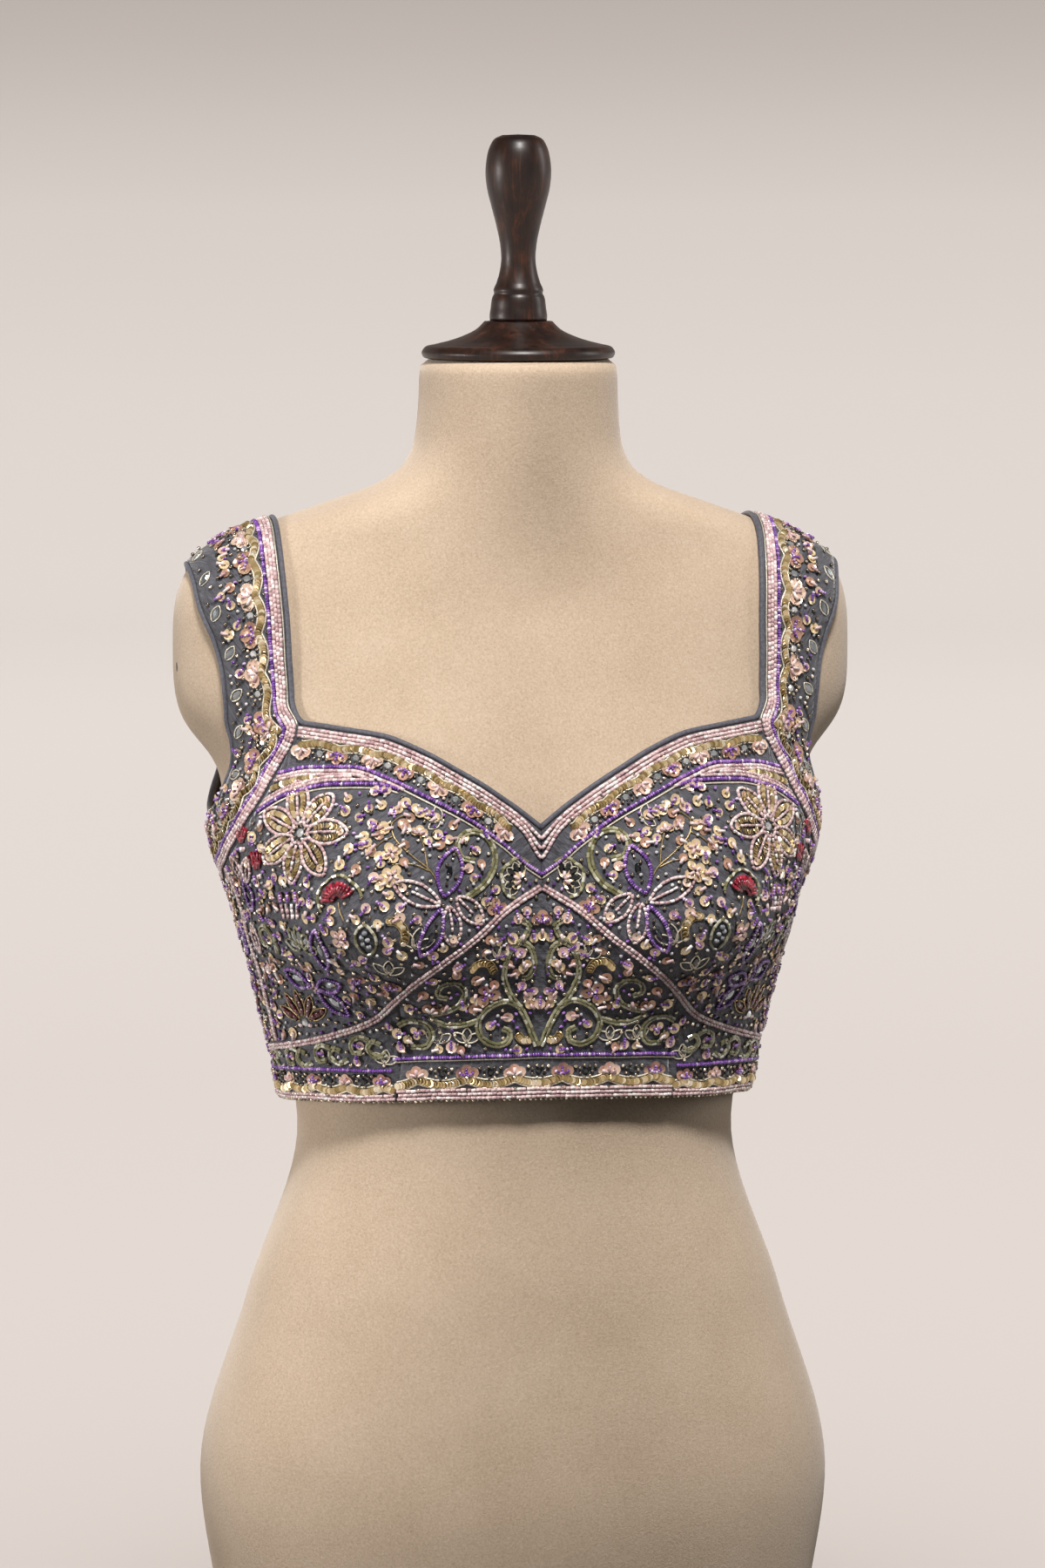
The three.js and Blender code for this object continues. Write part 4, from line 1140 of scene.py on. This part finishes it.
def strap_border():
    """The same rows up the yoke seam, over the shoulder and round the back of the neck."""
    first, end = 1.5, inner_edge.length[-1] - 0.5
    edged(inner_edge.inset(0.5, YOKE_END, end), radius=0.42)
    pink_rows(inner_edge, 2.0 + ROW * np.arange(3), first, end)
    strung("purple_seed", inner_edge.inset(7.9, first, end), SEED_STEP)
    scalloped(inner_edge, 14.6, 3.1, 20.5, 12, 3, end, 1.22, "clear_chaton", alternate=1)
    stations = np.arange(26, arm_line.length[-1] - 12, 10.3)
    mirror(arm_line.frames(stations[::2], 5.6, 50))
    for shift, depth in ((3.5, 8.2), (-4.2, 4.0)):
        put("gunmetal_bead", arm_line.frames(stations[1::2] + shift, depth), [(0, 0)], 0)


def hem_border():
    """Pink rows, a scalloped band, flowers and a purple line. Round the sides the band is narrower, so its
    lines step at the princess seam."""
    whole, pitch = hem_middle.length[-1], 23.7
    pink_rows(hem_middle, 1.3 + 2.1 * np.arange(3), 0, whole, once=True)
    scalloped(hem_middle, 11.4, 3.0, pitch, whole / 2 - pitch * 1.5, 0, whole, 1.0, "black_chaton", once=True)
    strung("purple_seed", hem_middle.inset(23.6), SEED_STEP, once=True)
    edged(hem_middle.inset(21.7), once=True)
    strung("gunmetal_bead", hem_middle.inset(-0.3), 2.6, lift=-1.0, grow=0.8, once=True)
    end = hem_round.length[-1] - 0.5
    pink_rows(hem_round, 1.2 + ROW * np.arange(2), 0, end)
    scalloped(hem_round, 8.2, 2.6, 19.5, 6, 0, end, 0.84, "black_chaton", alternate=1)
    strung("purple_seed", hem_round.inset(17.0, 0, end), SEED_STEP)
    strung("gunmetal_bead", hem_round.inset(-0.3, 0, end), 2.6, lift=-1.0, grow=0.8)


def seam_rows():
    """Double pink rows along the underbust seam and down beside the side seam."""
    for depth in (-0.95, 0.95):
        strung("pink_bugle", bust_seam.inset(depth, 0.3), BUGLE_STEP)
    for turn, low, top in ((79.2, 331.5, 424), (80.0, 331.5, 424), (99.0, 316, 452), (99.8, 316, 452)):
        strung("pink_bugle", skin_at_turn(np.full(40, turn), np.linspace(low, top, 40)), BUGLE_STEP)


# ---- the fields between the borders
def scatter(rows, frames=None):
    """Motifs from rows of a motif, its place and spin, and how it is made. The place is in a flat frame, or
    a turn and height on the skin."""
    for motif, x, y, spin, *how in rows:
        motif(shifted(frames, x, y, spin) if frames else spot(x, y, spin), *how)


def berries(frames, size, rows):
    """Berries of one size in a flat frame, from rows of a place, spin, stamen and tone."""
    scatter([(flower, x, y, spin, "berry", stamen, tone, size) for x, y, spin, stamen, tone in rows], frames)


def cup_field():
    """A daisy, a red fan, a tulip, a lotus and leaves round a branch of almonds, berries and tendrils."""
    scatter((
        (daisy, 54.4, 445, 8), (glass_fan, 43.4, 413, -22, 11.0), (red_burst, 66.0, 424, -12),
        (red_burst, 70.5, 437, -6, 10.0), (loop_leaf, 72.5, 418, -30, 15, 7),
        (loop_leaf, 71.8, 418, 28, 15, 7), (crown, 57.0, 403, -4), (glass_leaves, 56.4, 386.5, 4),
        (lotus, 65.5, 345, -4, 20.0),
        (pearl_leaf, 38.8, 388, 4), (dark_fan, 6.2, 423, -66),
        (vine, 17.8, 439, 0, (0, -6.3), (6.6, -4), (8.4, 2.6), (3, 8.4), (-5.5, 7.6), (-10.6, 0), (-10.2, -9),
         (-4.5, -18), (5.6, -24.5))))
    root = spot(23.7, 415)
    scatter((
        (almond, 0, 1, 18, 26, 12.5), (almond, 1.5, -5, -160, 31, 10), (loop_leaf, 2.0, -3, -63, 26, 10.5),
        (loop_leaf, -2.5, -4, 172, 21, 9.5), (loop_leaf, -7, 0.5, 135, 19.5, 10)), root)
    for tendril in (((0, 0), (5, 13), (15.5, 23.5), (24, 34), (25.5, 42.5), (19, 46), (12, 45)),
                    ((6, 14), (14, 18), (26, 19)), ((7, 15), (8, 26), (10, 34)),
                    ((24.5, 35), (31, 33), (37, 29))):
        bend("gold_wire", root, soft_line(*tendril))
    berries(root, 0.92, (
        (37.5, 28, 60, "pink", GOLD), (33, 24.5, 20, "pink", GOLD), (41, 34, 90, "purple", GOLD),
        (30.5, 42, 70, "pink", GOLD), (24, 49.5, 0, "purple", PEACH), (12, 49, -20, "pink", GOLD),
        (5.5, 44.5, -80, "purple", GOLD), (17.5, 38.5, 30, "pink", PEACH), (31, 12, 100, "pink", GOLD),
        (0.5, 33, -60, "purple", GOLD), (-5, 30, -100, "pink", GOLD), (36, 44, 20, "purple", PEACH)))
    star_leaf(shifted(root, -1.5, 41, -70), 8)
    berries(root, 0.9, ((-13, 31, 30, "pink", GOLD), (-19, 24, 120, "purple", GOLD),
                        (-14, 15, 80, "pink", PEACH), (-24, 33, -30, "purple", GOLD)))
    flower(shifted(root, 10.5, 34, 10), "fan", "pink", GOLD, 0.8)
    scatter((
        (flower, 34.0, 437, 20, "blossom", "pink", GOLD, 0.95), (flower, 33.2, 426, -15, "blossom"),
        (flower, 43.6, 395.5, 0, "blossom", "pink", PEACH),
        (flower, 12.4, 409, 30, "blossom", "purple", COPPER, 0.95),
        (flower, 38.8, 466, -10, "fan", "purple", PEACH, 0.95),
        (flower, 44.8, 372, -20, "fan", "purple", COPPER, 0.95),
        (flower, 37.6, 369.5, 10, "fan", "purple", COPPER, 0.95),
        (almond, 51.5, 378, 8, 24, 10.5, "mirror_marquise")))
    centre = spot(58.6, 366)
    scatter([(almond, *ray(spin + 90, 2.2), spin, length, 9, "mirror_marquise")
             for spin, length in ((-71, 19), (78, 17), (134, 21))], centre)
    quarters = np.arange(4) * 90
    put("pink_bugle", centre, ray(quarters, 2.0), quarters)
    scatter((
        (star_leaf, 36.4, 378, 10, 9, 1.1), (star_leaf, 29.6, 392, 20, 10, 1.1),
        (coil_leaf, 32.5, 399, 0, (-4, -6), (-5, 0), (-1, 5), (4, 5.5)),
        (flower, 39.5, 405, 120, "berry", "pink", GOLD, 0.9), (flower, 31.5, 406, 60, "berry", "pink", PEACH),
        (flower, 47.8, 383, 130, "berry", "pink", PEACH, 0.9),
        (flower, 63.5, 392, 100, "berry", "purple", PEACH, 0.9),
        (vine, 69.5, 390, 0, (-6, -9), (-8, -1), (-3, 5), (4, 3), (4.5, -4), (0, -5.5)),
        (almond, 72.5, 402, -6, 18, 8), (flower, 72.5, 371, -20, "fan", "pink", PEACH),
        (loop_leaf, 74.5, 380, -10, 16, 7.5), (flower, 85.5, 401, 0, "blossom"),
        (almond, 85.0, 376, 4, 18, 8.5), (flower, 85.5, 356, 0, "fan", "purple", COPPER),
        (stone_ring, 84.5, 343, 0)))


def midriff_field():
    """Vines from the middle of the hem up under the cups and out along it, with berries in their coils."""
    middle = spot(0.0, 336)
    scatter((
        (vine, 0, 0, 0, (1.0, 0), (8.5, 18), (17.5, 32), (21, 44), (19, 53), (13.5, 57.5), (7.8, 55.5),
         (4.4, 49), (4.4, 42.5), (7.5, 38.5), (10.8, 38.5)),
        (vine, 0, 0, 0, (15, 57), (10, 60.5), (8, 64.5), (11.5, 67.5)),
        (vine, 0, 0, 0, (10, 21.5), (18, 25.5), (27, 22), (31.5, 13), (28.5, 4), (20.5, 0.6), (15.6, 3.4),
         (15.6, 8), (19, 10)),
        (vine, 0, 0, 0, (32, 15), (38, 12.5), (48, 11.5), (57, 15.5))), middle)
    scatter((
        (vine, 24.5, 366, 0, (9, -14), (2.5, -12), (-5, -6.5), (-6.5, 1.5), (-1, 7), (5.5, 5), (6, -1),
         (1.5, -3)),
        (vine, 35.5, 343, 0, (3, -7.5), (-5, -7), (-8, 0), (-4.5, 7), (3, 8.5), (8.5, 5.5))))
    for z, spin, *how in ((401, 0, "fan", "purple", COPPER), (394.5, 180, "berry", "pink", GOLD, 0.9),
                          (359, 180, "berry", "purple", PEACH)):
        flower(spot(0, z, spin), *how, once=True)
    scatter([(flower, x, y, spin, "berry", *look) for x, y, spin, *look in (
        (10.5, 44.5, 180, "pink", GOLD, 0.95), (6.6, 27.5, 145, "pink", PEACH, 0.9),
        (10, 34, 40, "purple", PEACH, 0.85), (16.5, 16.5, 90, "pink", PEACH, 0.95),
        (11, -2, 95, "purple", GOLD, 0.9), (40, 24, 170, "purple", GOLD, 0.95),
        (49, 21, 200, "pink", COPPER, 0.95))], middle)
    flower(shifted(middle, 28.5, 30.5, 15), "trefoil", "purple", COPPER, 1.15)
    coil_leaf(spot(15.8, 379), (-6, -3), (-2, 2.5), (3.5, 3), (7, -1))
    coil_leaf(middle, (4.2, 3), (8.5, 3.4), (11.3, 7))
    scatter(((star_leaf, 26, 51, -10), (star_leaf, 37, 2, 0, 8.5), (star_leaf, 52, 1, 0, 8.5)), middle)
    flower(spot(35.0, 344), "trefoil", "purple", GOLD, 0.7)
    flower(spot(30.5, 356, 30), "fan", "pink", COPPER, 0.9)
    for turn, z, spin in ((49.5, 335, 0), (60.5, 329, -6), (71.5, 325, -8), (82.5, 321, -4)):
        small = spot(turn, z, spin)
        vine(small, (-11, -4), (-5, -5.5), (-1, -1), (-4, 3), (-8, 1.5), gap=0.7)
        vine(small, (-2, 3.5), (3, 5), (8, 1.5), (7, -4), (2.5, -4), gap=0.7)
        flower(shifted(small, 3.3, 0.2, 100), "berry", "purple", PEACH, 0.75)
    star_leaf(spot(45.2, 326, 10), 8)


# the motifs of the back, one kind to a place: each row a motif, its place and spin, and how it is made
BACK_KINDS = (
    ((flower, 0, 0, 0, "blossom"), (coiled, 0, 8, 0, 5.5, 0.8, -90, 0.7)),
    [(almond, *ray(spin + 90, 2.0), spin, 15, 7) for spin in (-52, 0, 52)],
    ((flower, 0, 0, 0, "fan", "purple", COPPER), (star_leaf, 0, -9, 180, 8)),
    ((coiled, 0, 0, 0, 8, 1.2, 90, 0.85), (flower, 0, 0, 0, "berry", "purple", PEACH, 0.85)),
    ((loop_leaf, 0, -4, -60, 15, 7), (loop_leaf, 0, -4, 60, 15, 7), (flower, 0, 5, 180, "berry")),
    ((dark_fan, 0, 0, 0, 5, 8.0),),
)


def back_field():
    """A trellis of the front's motifs, each row set half a step on from the one below."""
    for row, z in enumerate((338, 362, 388, 414, 438)):
        for k, turn in enumerate(np.arange(106 + 5.5 * (row % 2), 178, 11)):
            motifs = BACK_KINDS[(2 * row + k) % len(BACK_KINDS)]
            scatter(motifs, spot(turn, z, 6 * np.sin(row * 2.0 + k * 1.7)))


# ---- filling the gaps
# what the borders take up: the hem's band in front and behind, under the purple line, at the armhole and
# at the back neckline, then on the strap, from its neck edge up to near its armhole edge
HEM_FRONT, HEM_BEHIND, UNDER_LINE, AT_ARM, AT_BACK_NECK = 26, 19.5, 4, 6, 22
STRAP_NEAR, STRAP_FAR, STRAP_LENGTH, STRAP_ARM = 16, 33, 200, 3.5


def sewn_so_far():
    """The guide points of every bead and of every third step of the wires."""
    beads = [points for tray in trays.values() for points, *_ in tray]
    steps = [lines[:, ::3].reshape(-1, 3) for found in wires.values() for lines, *_ in found]
    return np.concatenate(beads + steps)


def ground_places(count):
    """Random places between the hem band and the neckline or armhole, and along the strap."""
    turns = rng.uniform(1.5, 178.5, count)
    low = hem(turns) + np.where(turns < round(PRINCESS_BOTTOM), HEM_FRONT, HEM_BEHIND)
    cup_high = np.minimum(upper_line(turns), yoke_seam(turns)) - UNDER_LINE
    back_high = back_top(turns) - np.where(turns < STRAP_BACK_ARM, AT_ARM, AT_BACK_NECK)
    high = np.where(turns < 90, cup_high, back_high)
    ground = skin_at_turn(turns, between(low, high, rng.random(count)))
    at = rng.uniform(4, inner_edge.length[-1] - 4, count // 4)
    width = rng.uniform(STRAP_NEAR, STRAP_FAR, count // 4)
    width = np.where(at < YOKE_END + STRAP_LENGTH, width, STRAP_NEAR)
    on_strap = inner_edge.frames(at, width)[0]
    from_arm = np.linalg.norm(on_strap[:, None] - arm_line.line[None, ::4], axis=-1).min(1)
    return np.concatenate([ground, on_strap[(from_arm > STRAP_ARM) & (width > STRAP_NEAR)]])


def open_ground(count, clear):
    """Those of the random places that stand clear of every bead, and further from each other."""
    taken, kept = sewn_so_far(), []
    for p in ground_places(count):
        apart = not kept or np.min(np.sum((np.array(kept) - p) ** 2, 1)) > (clear * 1.55) ** 2
        if apart and np.min(np.sum((taken - p) ** 2, 1)) > clear ** 2:
            kept.append(p)
    return np.array(kept).reshape(-1, 3)


def spun_at_random(places):
    """Upright frames, each spun by a random angle."""
    return upright(places, rng.uniform(0, 360, len(places)))


def fill():
    """Single berries in the wider gaps, then small beads in what is left."""
    for clear, size, count in ((5.4, 1.0, 2600), (4.2, 0.85, 3600)):
        places = open_ground(count, clear)
        looks = ("pink", GOLD), ("purple", PEACH), ("pink", COPPER), ("purple", GOLD)
        for k, look in enumerate(looks):
            flower(spun_at_random(places[k::4]), "berry", *look, size)
    places = open_ground(7000, 2.3)
    kinds = ("gunmetal_bead", "gunmetal_bead", "clear_bead", "purple_seed", "gunmetal_bead")
    for k, kind in enumerate(kinds):
        sew(kind, places[k::5], spun_at_random(places[k::5])[1])


for sew_on in (neckline_border, purple_lines, strap_border, hem_border, seam_rows, cup_field, midriff_field,
               back_field, fill):
    sew_on()


# ---- glass, sequins, thread and stones
# kind: slot, material, finish, roughness, how metallic, and the shades of its beads
# The palest shade of the pink, purple, olive, gunmetal and gold coin kinds is near white: painted highlight,
# so that a few beads stand for glints.
PAINTS = {
    "pink_bugle": ("glass_beads", "silver_lined_pink_glass", glass, 0.22, 0,
                   (0, "#b89698"), (0.4, "#e2c3c4"), (0.85, "#f8e6e4"), (1, "#fffbfa")),
    "purple_seed": ("glass_beads", "purple_glass", glass, 0.16, 0,
                    (0, "#572e86"), (0.5, "#8a54b8"), (0.8, "#c298da"), (1, "#f4e6fd")),
    "olive_bugle": ("glass_beads", "olive_glass", glass, 0.16, 0,
                    (0, "#63613e"), (0.5, "#8d8a66"), (0.82, "#b9b695"), (1, "#faf9ec")),
    "red_bugle": ("glass_beads", "ruby_glass", glass, 0.14, 0,
                  (0, "#540d1b"), (0.6, "#91192d"), (1, "#c03d52")),
    "gunmetal_bead": ("glass_beads", "gunmetal_plated_glass", foil, 0.2, 0.9,
                      (0, "#554e48"), (0.5, "#9a8f80"), (0.8, "#cbbda4"), (1, "#fff6e4")),
    "clear_bead": ("glass_beads", "clear_crystal_glass", glass, 0.08, 0, (0, "#a6a7ac"), (1, "#e8e9ea")),
    "grey_pearl": ("glass_beads", "grey_pearl_glass", glass, 0.25, 0, (0, "#7b8088"), (1, "#a9adb3")),
    "gold_coin": ("sequins", "pale_gold_foil", foil, 0.26, 0.65,
                  (0, "#9a8558"), (0.45, "#c6ae7c"), (0.8, "#e8d4aa"), (1, "#fff5de")),
    "cup_sequin": ("sequins", "gold_to_copper_foil", foil, 0.3, 0.35, (0, "#f2dfb6"), (0.35, "#f0d4a8"),
                   (0.45, "#f6dbc8"), (0.6, "#efccb6"), (0.8, "#d3aa91"), (1, "#b8927b")),
    "black_marquise": ("stones", "jet_glass", glass, 0.06, 0, (0, "#0b0d0e"), (1, "#22282b")),
    "black_chaton": ("stones", "jet_glass_round", glass, 0.06, 0, (0, "#0b0d0e"), (1, "#22282b")),
    "mirror_marquise": ("stones", "mirror_glass", foil, 0.16, 0.6, (0, "#7f868b"), (1, "#c6cbce")),
    "clear_chaton": ("stones", "foiled_crystal", foil, 0.12, 0.6, (0, "#b4babd"), (1, "#f6f8f8")),
    "cream_wire": ("metal_thread", "pale_silver_gilt_wire", foil, 0.45, 0.4, (0, "#d2c9b2"), (1, "#f6f0e0")),
    "gold_wire": ("metal_thread", "antique_gilt_wire", foil, 0.32, 0.7, (0, "#8f7c58"), (1, "#c2ad80")),
}
GLOSS = {"IOR": 1.52, "Coat_Weight": 0.5, "Coat_Roughness": 0.06}
GUIDE_SLIP, THREAD_SLIP, SMALLEST, LARGEST = 0.07, 0.05, 0.94, 1.05
WIRE_SIDES, WIRE_END = 4, 0.3
paints = {kind: surface(name, finish, *stops, Roughness=roughness,
                        **(GLOSS if finish is glass else {"Metallic": metallic}))
          for kind, (_, name, finish, roughness, metallic, *stops) in PAINTS.items()}


def repeated(faces, count, size, start=0):
    """The faces of a count of like shapes whose points are stored one shape after another."""
    return (faces + start + np.arange(count)[:, None, None] * size).reshape(-1, faces.shape[1])


def sewn(kind, side, points, faces, tone, smooth=True, mirrored=False):
    """All beads or wires of a kind on one side, as one piece."""
    piece = to_object(f"{kind}s_{side}", points, faces, paints[kind], tone=tone, smooth=smooth,
                      mirrored=mirrored)
    return rides(piece, PAINTS[kind][0])


def strew(kind, side, mirrored):
    """Every bead of a kind on one side: the shape scaled, turned to its thread and the cloth, and moved."""
    (corners, faces), size, stand, smooth, wobble = KINDS[kind]
    *columns, once = (np.concatenate(column) for column in zip(*trays[kind]))
    guide, along, lift, grow, tone = (column[~(once & mirrored)] for column in columns)
    guide = guide + rng.normal(0, GUIDE_SLIP, guide.shape)
    centre, normal = settle(guide, stand + lift)
    normal = unit(normal + rng.normal(0, wobble, normal.shape))
    along = along + rng.normal(0, THREAD_SLIP, along.shape)
    along = unit(along - normal * np.sum(along * normal, -1, keepdims=True))
    grow = grow * np.array(size) * rng.uniform(SMALLEST, LARGEST, (len(guide), 1))
    x, y, z = np.moveaxis(corners * grow[:, None], -1, 0)[..., None]
    across = np.cross(normal, along)
    points = centre[:, None] + x * along[:, None] + y * across[:, None] + z * normal[:, None]
    faces = [repeated(f, len(guide), len(corners)) for f in faces]
    return sewn(kind, side, points, faces, np.repeat(tone, len(corners)), smooth, mirrored)


def lay_wire(kind, side, mirrored):
    """Every wire of a kind on one side: a small tube whose radius beats like wound thread."""
    tubes, faces, start = [], [], 0
    for lines, lift, radius, once in wires[kind]:
        if not (once and mirrored):
            count, steps = lines.shape[:2]
            centre, normal = settle(lines, radius * 0.8 + lift)
            out = unit(np.cross(np.gradient(centre, axis=1), normal))
            beat = radius * np.where(np.arange(steps) % 2, 0.78, 1.08)
            beat[[0, -1]] *= WIRE_END
            tubes.append(tube(centre, out, normal, beat, WIRE_SIDES).reshape(-1, 3))
            rings = grid_faces(steps, WIRE_SIDES, wrap=True)
            faces.append(repeated(rings, count, steps * WIRE_SIDES, start))
            start += count * steps * WIRE_SIDES
    tone = np.repeat(rng.random(start // WIRE_SIDES), WIRE_SIDES)
    return sewn(kind, side, np.concatenate(tubes), [np.concatenate(faces)], tone, mirrored=mirrored)


sewn_pieces = {side: [*(strew(kind, side, mirrored) for kind in KINDS),
                      *(lay_wire(kind, side, mirrored) for kind in wires)] for side, mirrored in SIDES}


# ---- the studio and the camera
def emulsion(m, place):
    """Matt emulsion on a curved studio wall and floor, warm grey, with a roller's faint unevenness. Along
    its way out over the floor and up the wall its colour is painted shade: a shade deeper in the middle of
    the floor, which evens out the lamp's brighter pool there, then darker up the wall towards its top for the
    light's falloff."""
    patch = node(m, "TexNoise", Vector=place, Scale=0.6, Detail=2.0)
    rise = node(m, "SeparateXYZ", "Z", _0=place)
    flat = node(m, "VectorMath", operation="MULTIPLY", _0=place, _1=(1, 1, 0))
    out = node(m, "VectorMath", "Value", operation="LENGTH", _0=flat)
    way = node(m, "Math", operation="ADD", _0=out, _1=rise)
    share = node(m, "MapRange", _0=way, _1=2.0, _2=10.5)
    tone = node(m, "Math", operation="MULTIPLY_ADD", _0=patch, _1=0.01, _2=share)
    # painted shade: deeper near the middle of the floor under the lamp's pool of light, palest further out,
    # then darker up the wall towards its top
    shades_and_painted_shade = ((0, "#c3bebb"), (0.26, "#cdc8c6"), (0.565, "#ded9d6"), (0.75, "#ddd8d5"), (0.836, "#d9d4d1"),
              (0.87, "#d1ccc9"), (0.903, "#c7c1bd"), (1, "#aba5a1"))
    return (node(m, "ValToRGB", _0=tone, stops=shades_and_painted_shade),)


def studio():
    """A round floor that turns up into a wall: a profile of radius and height spun about the form."""
    floor, bend_radius, top, flat_rows = 9000.0, 2200.0, 5200.0, 12
    turn = np.linspace(0, np.pi / 2, 16)[1:]
    flat = floor - bend_radius
    radius = np.concatenate([np.linspace(200, flat, flat_rows), flat + bend_radius * np.sin(turn), [floor]])
    height = np.concatenate([np.zeros(flat_rows), bend_radius - bend_radius * np.cos(turn), [top]])
    points, (around_it, middle, _) = turned([(0, 0), *zip(radius, height), (0, top)], sides=96)
    paint = surface("matt_studio_paint", emulsion, Roughness=0.95, Specular_IOR_Level=0.1)
    sweep = to_object("studio_sweep", points[:-1], [around_it[:, ::-1], middle[:, ::-1]], paint)
    sweep.visible_diffuse = False
    return sweep


def turned_from(name, data, place, away):
    """A light or camera at a place, in metres, that faces back along a direction."""
    thing = bpy.data.objects.new(name, data)
    thing.location = place
    thing.rotation_mode = "QUATERNION"
    thing.rotation_quaternion = away.to_track_quat("Z", "Y")
    scene.collection.objects.link(thing)
    return thing


def softbox(name, place, aim, width, height, power, spread=180, lights="EXCLUDE"):
    """A light at a place, in metres, turned to face a point. It lights the form and the top and passes the
    studio by, or the other way round."""
    data = bpy.data.lights.new(name, "AREA")
    data.shape = "RECTANGLE" if lights == "EXCLUDE" else "ELLIPSE"
    data.size, data.size_y = width, height
    data.energy = power
    data.color = linear("#fffaf6")[:3]
    data.spread = np.radians(spread)
    lamp = turned_from(name, data, place, Vector(place) - Vector(aim))
    reach = bpy.data.collections.new(name + "_reach")
    reach.objects.link(sweep)
    reach.collection_objects[0].light_linking.link_state = lights
    lamp.light_linking.receiver_collection = reach
    return lamp


def camera():
    """Looks at the middle of the bodice from 3.25 m, a little above it and to the wearer's right."""
    turn, rise, distance, target = np.radians(-7.5), np.radians(6), 3.25, Vector((0.0047, 0, 0.461))
    away = Vector((np.sin(turn) * np.cos(rise), -np.cos(turn) * np.cos(rise), np.sin(rise)))
    data = bpy.data.cameras.new("camera")
    data.sensor_width = 36
    data.lens = 139.8
    return turned_from("camera", data, target + away * distance, away)


sweep = studio()
scene.camera = camera()
MIDDLE = (0, 0, 0.45)
softbox("top_softbox", (0.0, -2.1, 3.4), MIDDLE, 0.7, 0.6, 5.0, 30)
softbox("left_softbox", (-2.6, -0.4, 0.55), (-0.1, 0, 0.36), 0.5, 0.9, 1.35, 26)
softbox("right_strip", (3.0, 0.1, 1.5), MIDDLE, 0.5, 2.0, 2.9, 60)
for name, aside in (("back_left_strip", -0.9), ("back_right_strip", 0.9)):
    softbox(name, (aside, 2.9, 1.0), MIDDLE, 0.5, 1.6, 2.5, 40).visible_glossy = False
softbox("studio_lamp", (0, 0, 5.1), (0, 0, 0), 17.5, 17.5, 1370.0, lights="INCLUDE")
world = bpy.data.worlds.new("studio_air")
world.use_nodes = True
air, strength = world.node_tree.nodes["Background"].inputs[:2]
air.default_value = linear("#f6f2ee")
strength.default_value = 0.08
scene.world = world
scene.view_settings.view_transform = "Standard"

# ---- the cut of the cloth
# panel: width and length of its flat cut, its flat area, in metres and square metres
for key, piece in panels.items():
    shape, _, side = key.rpartition("_")
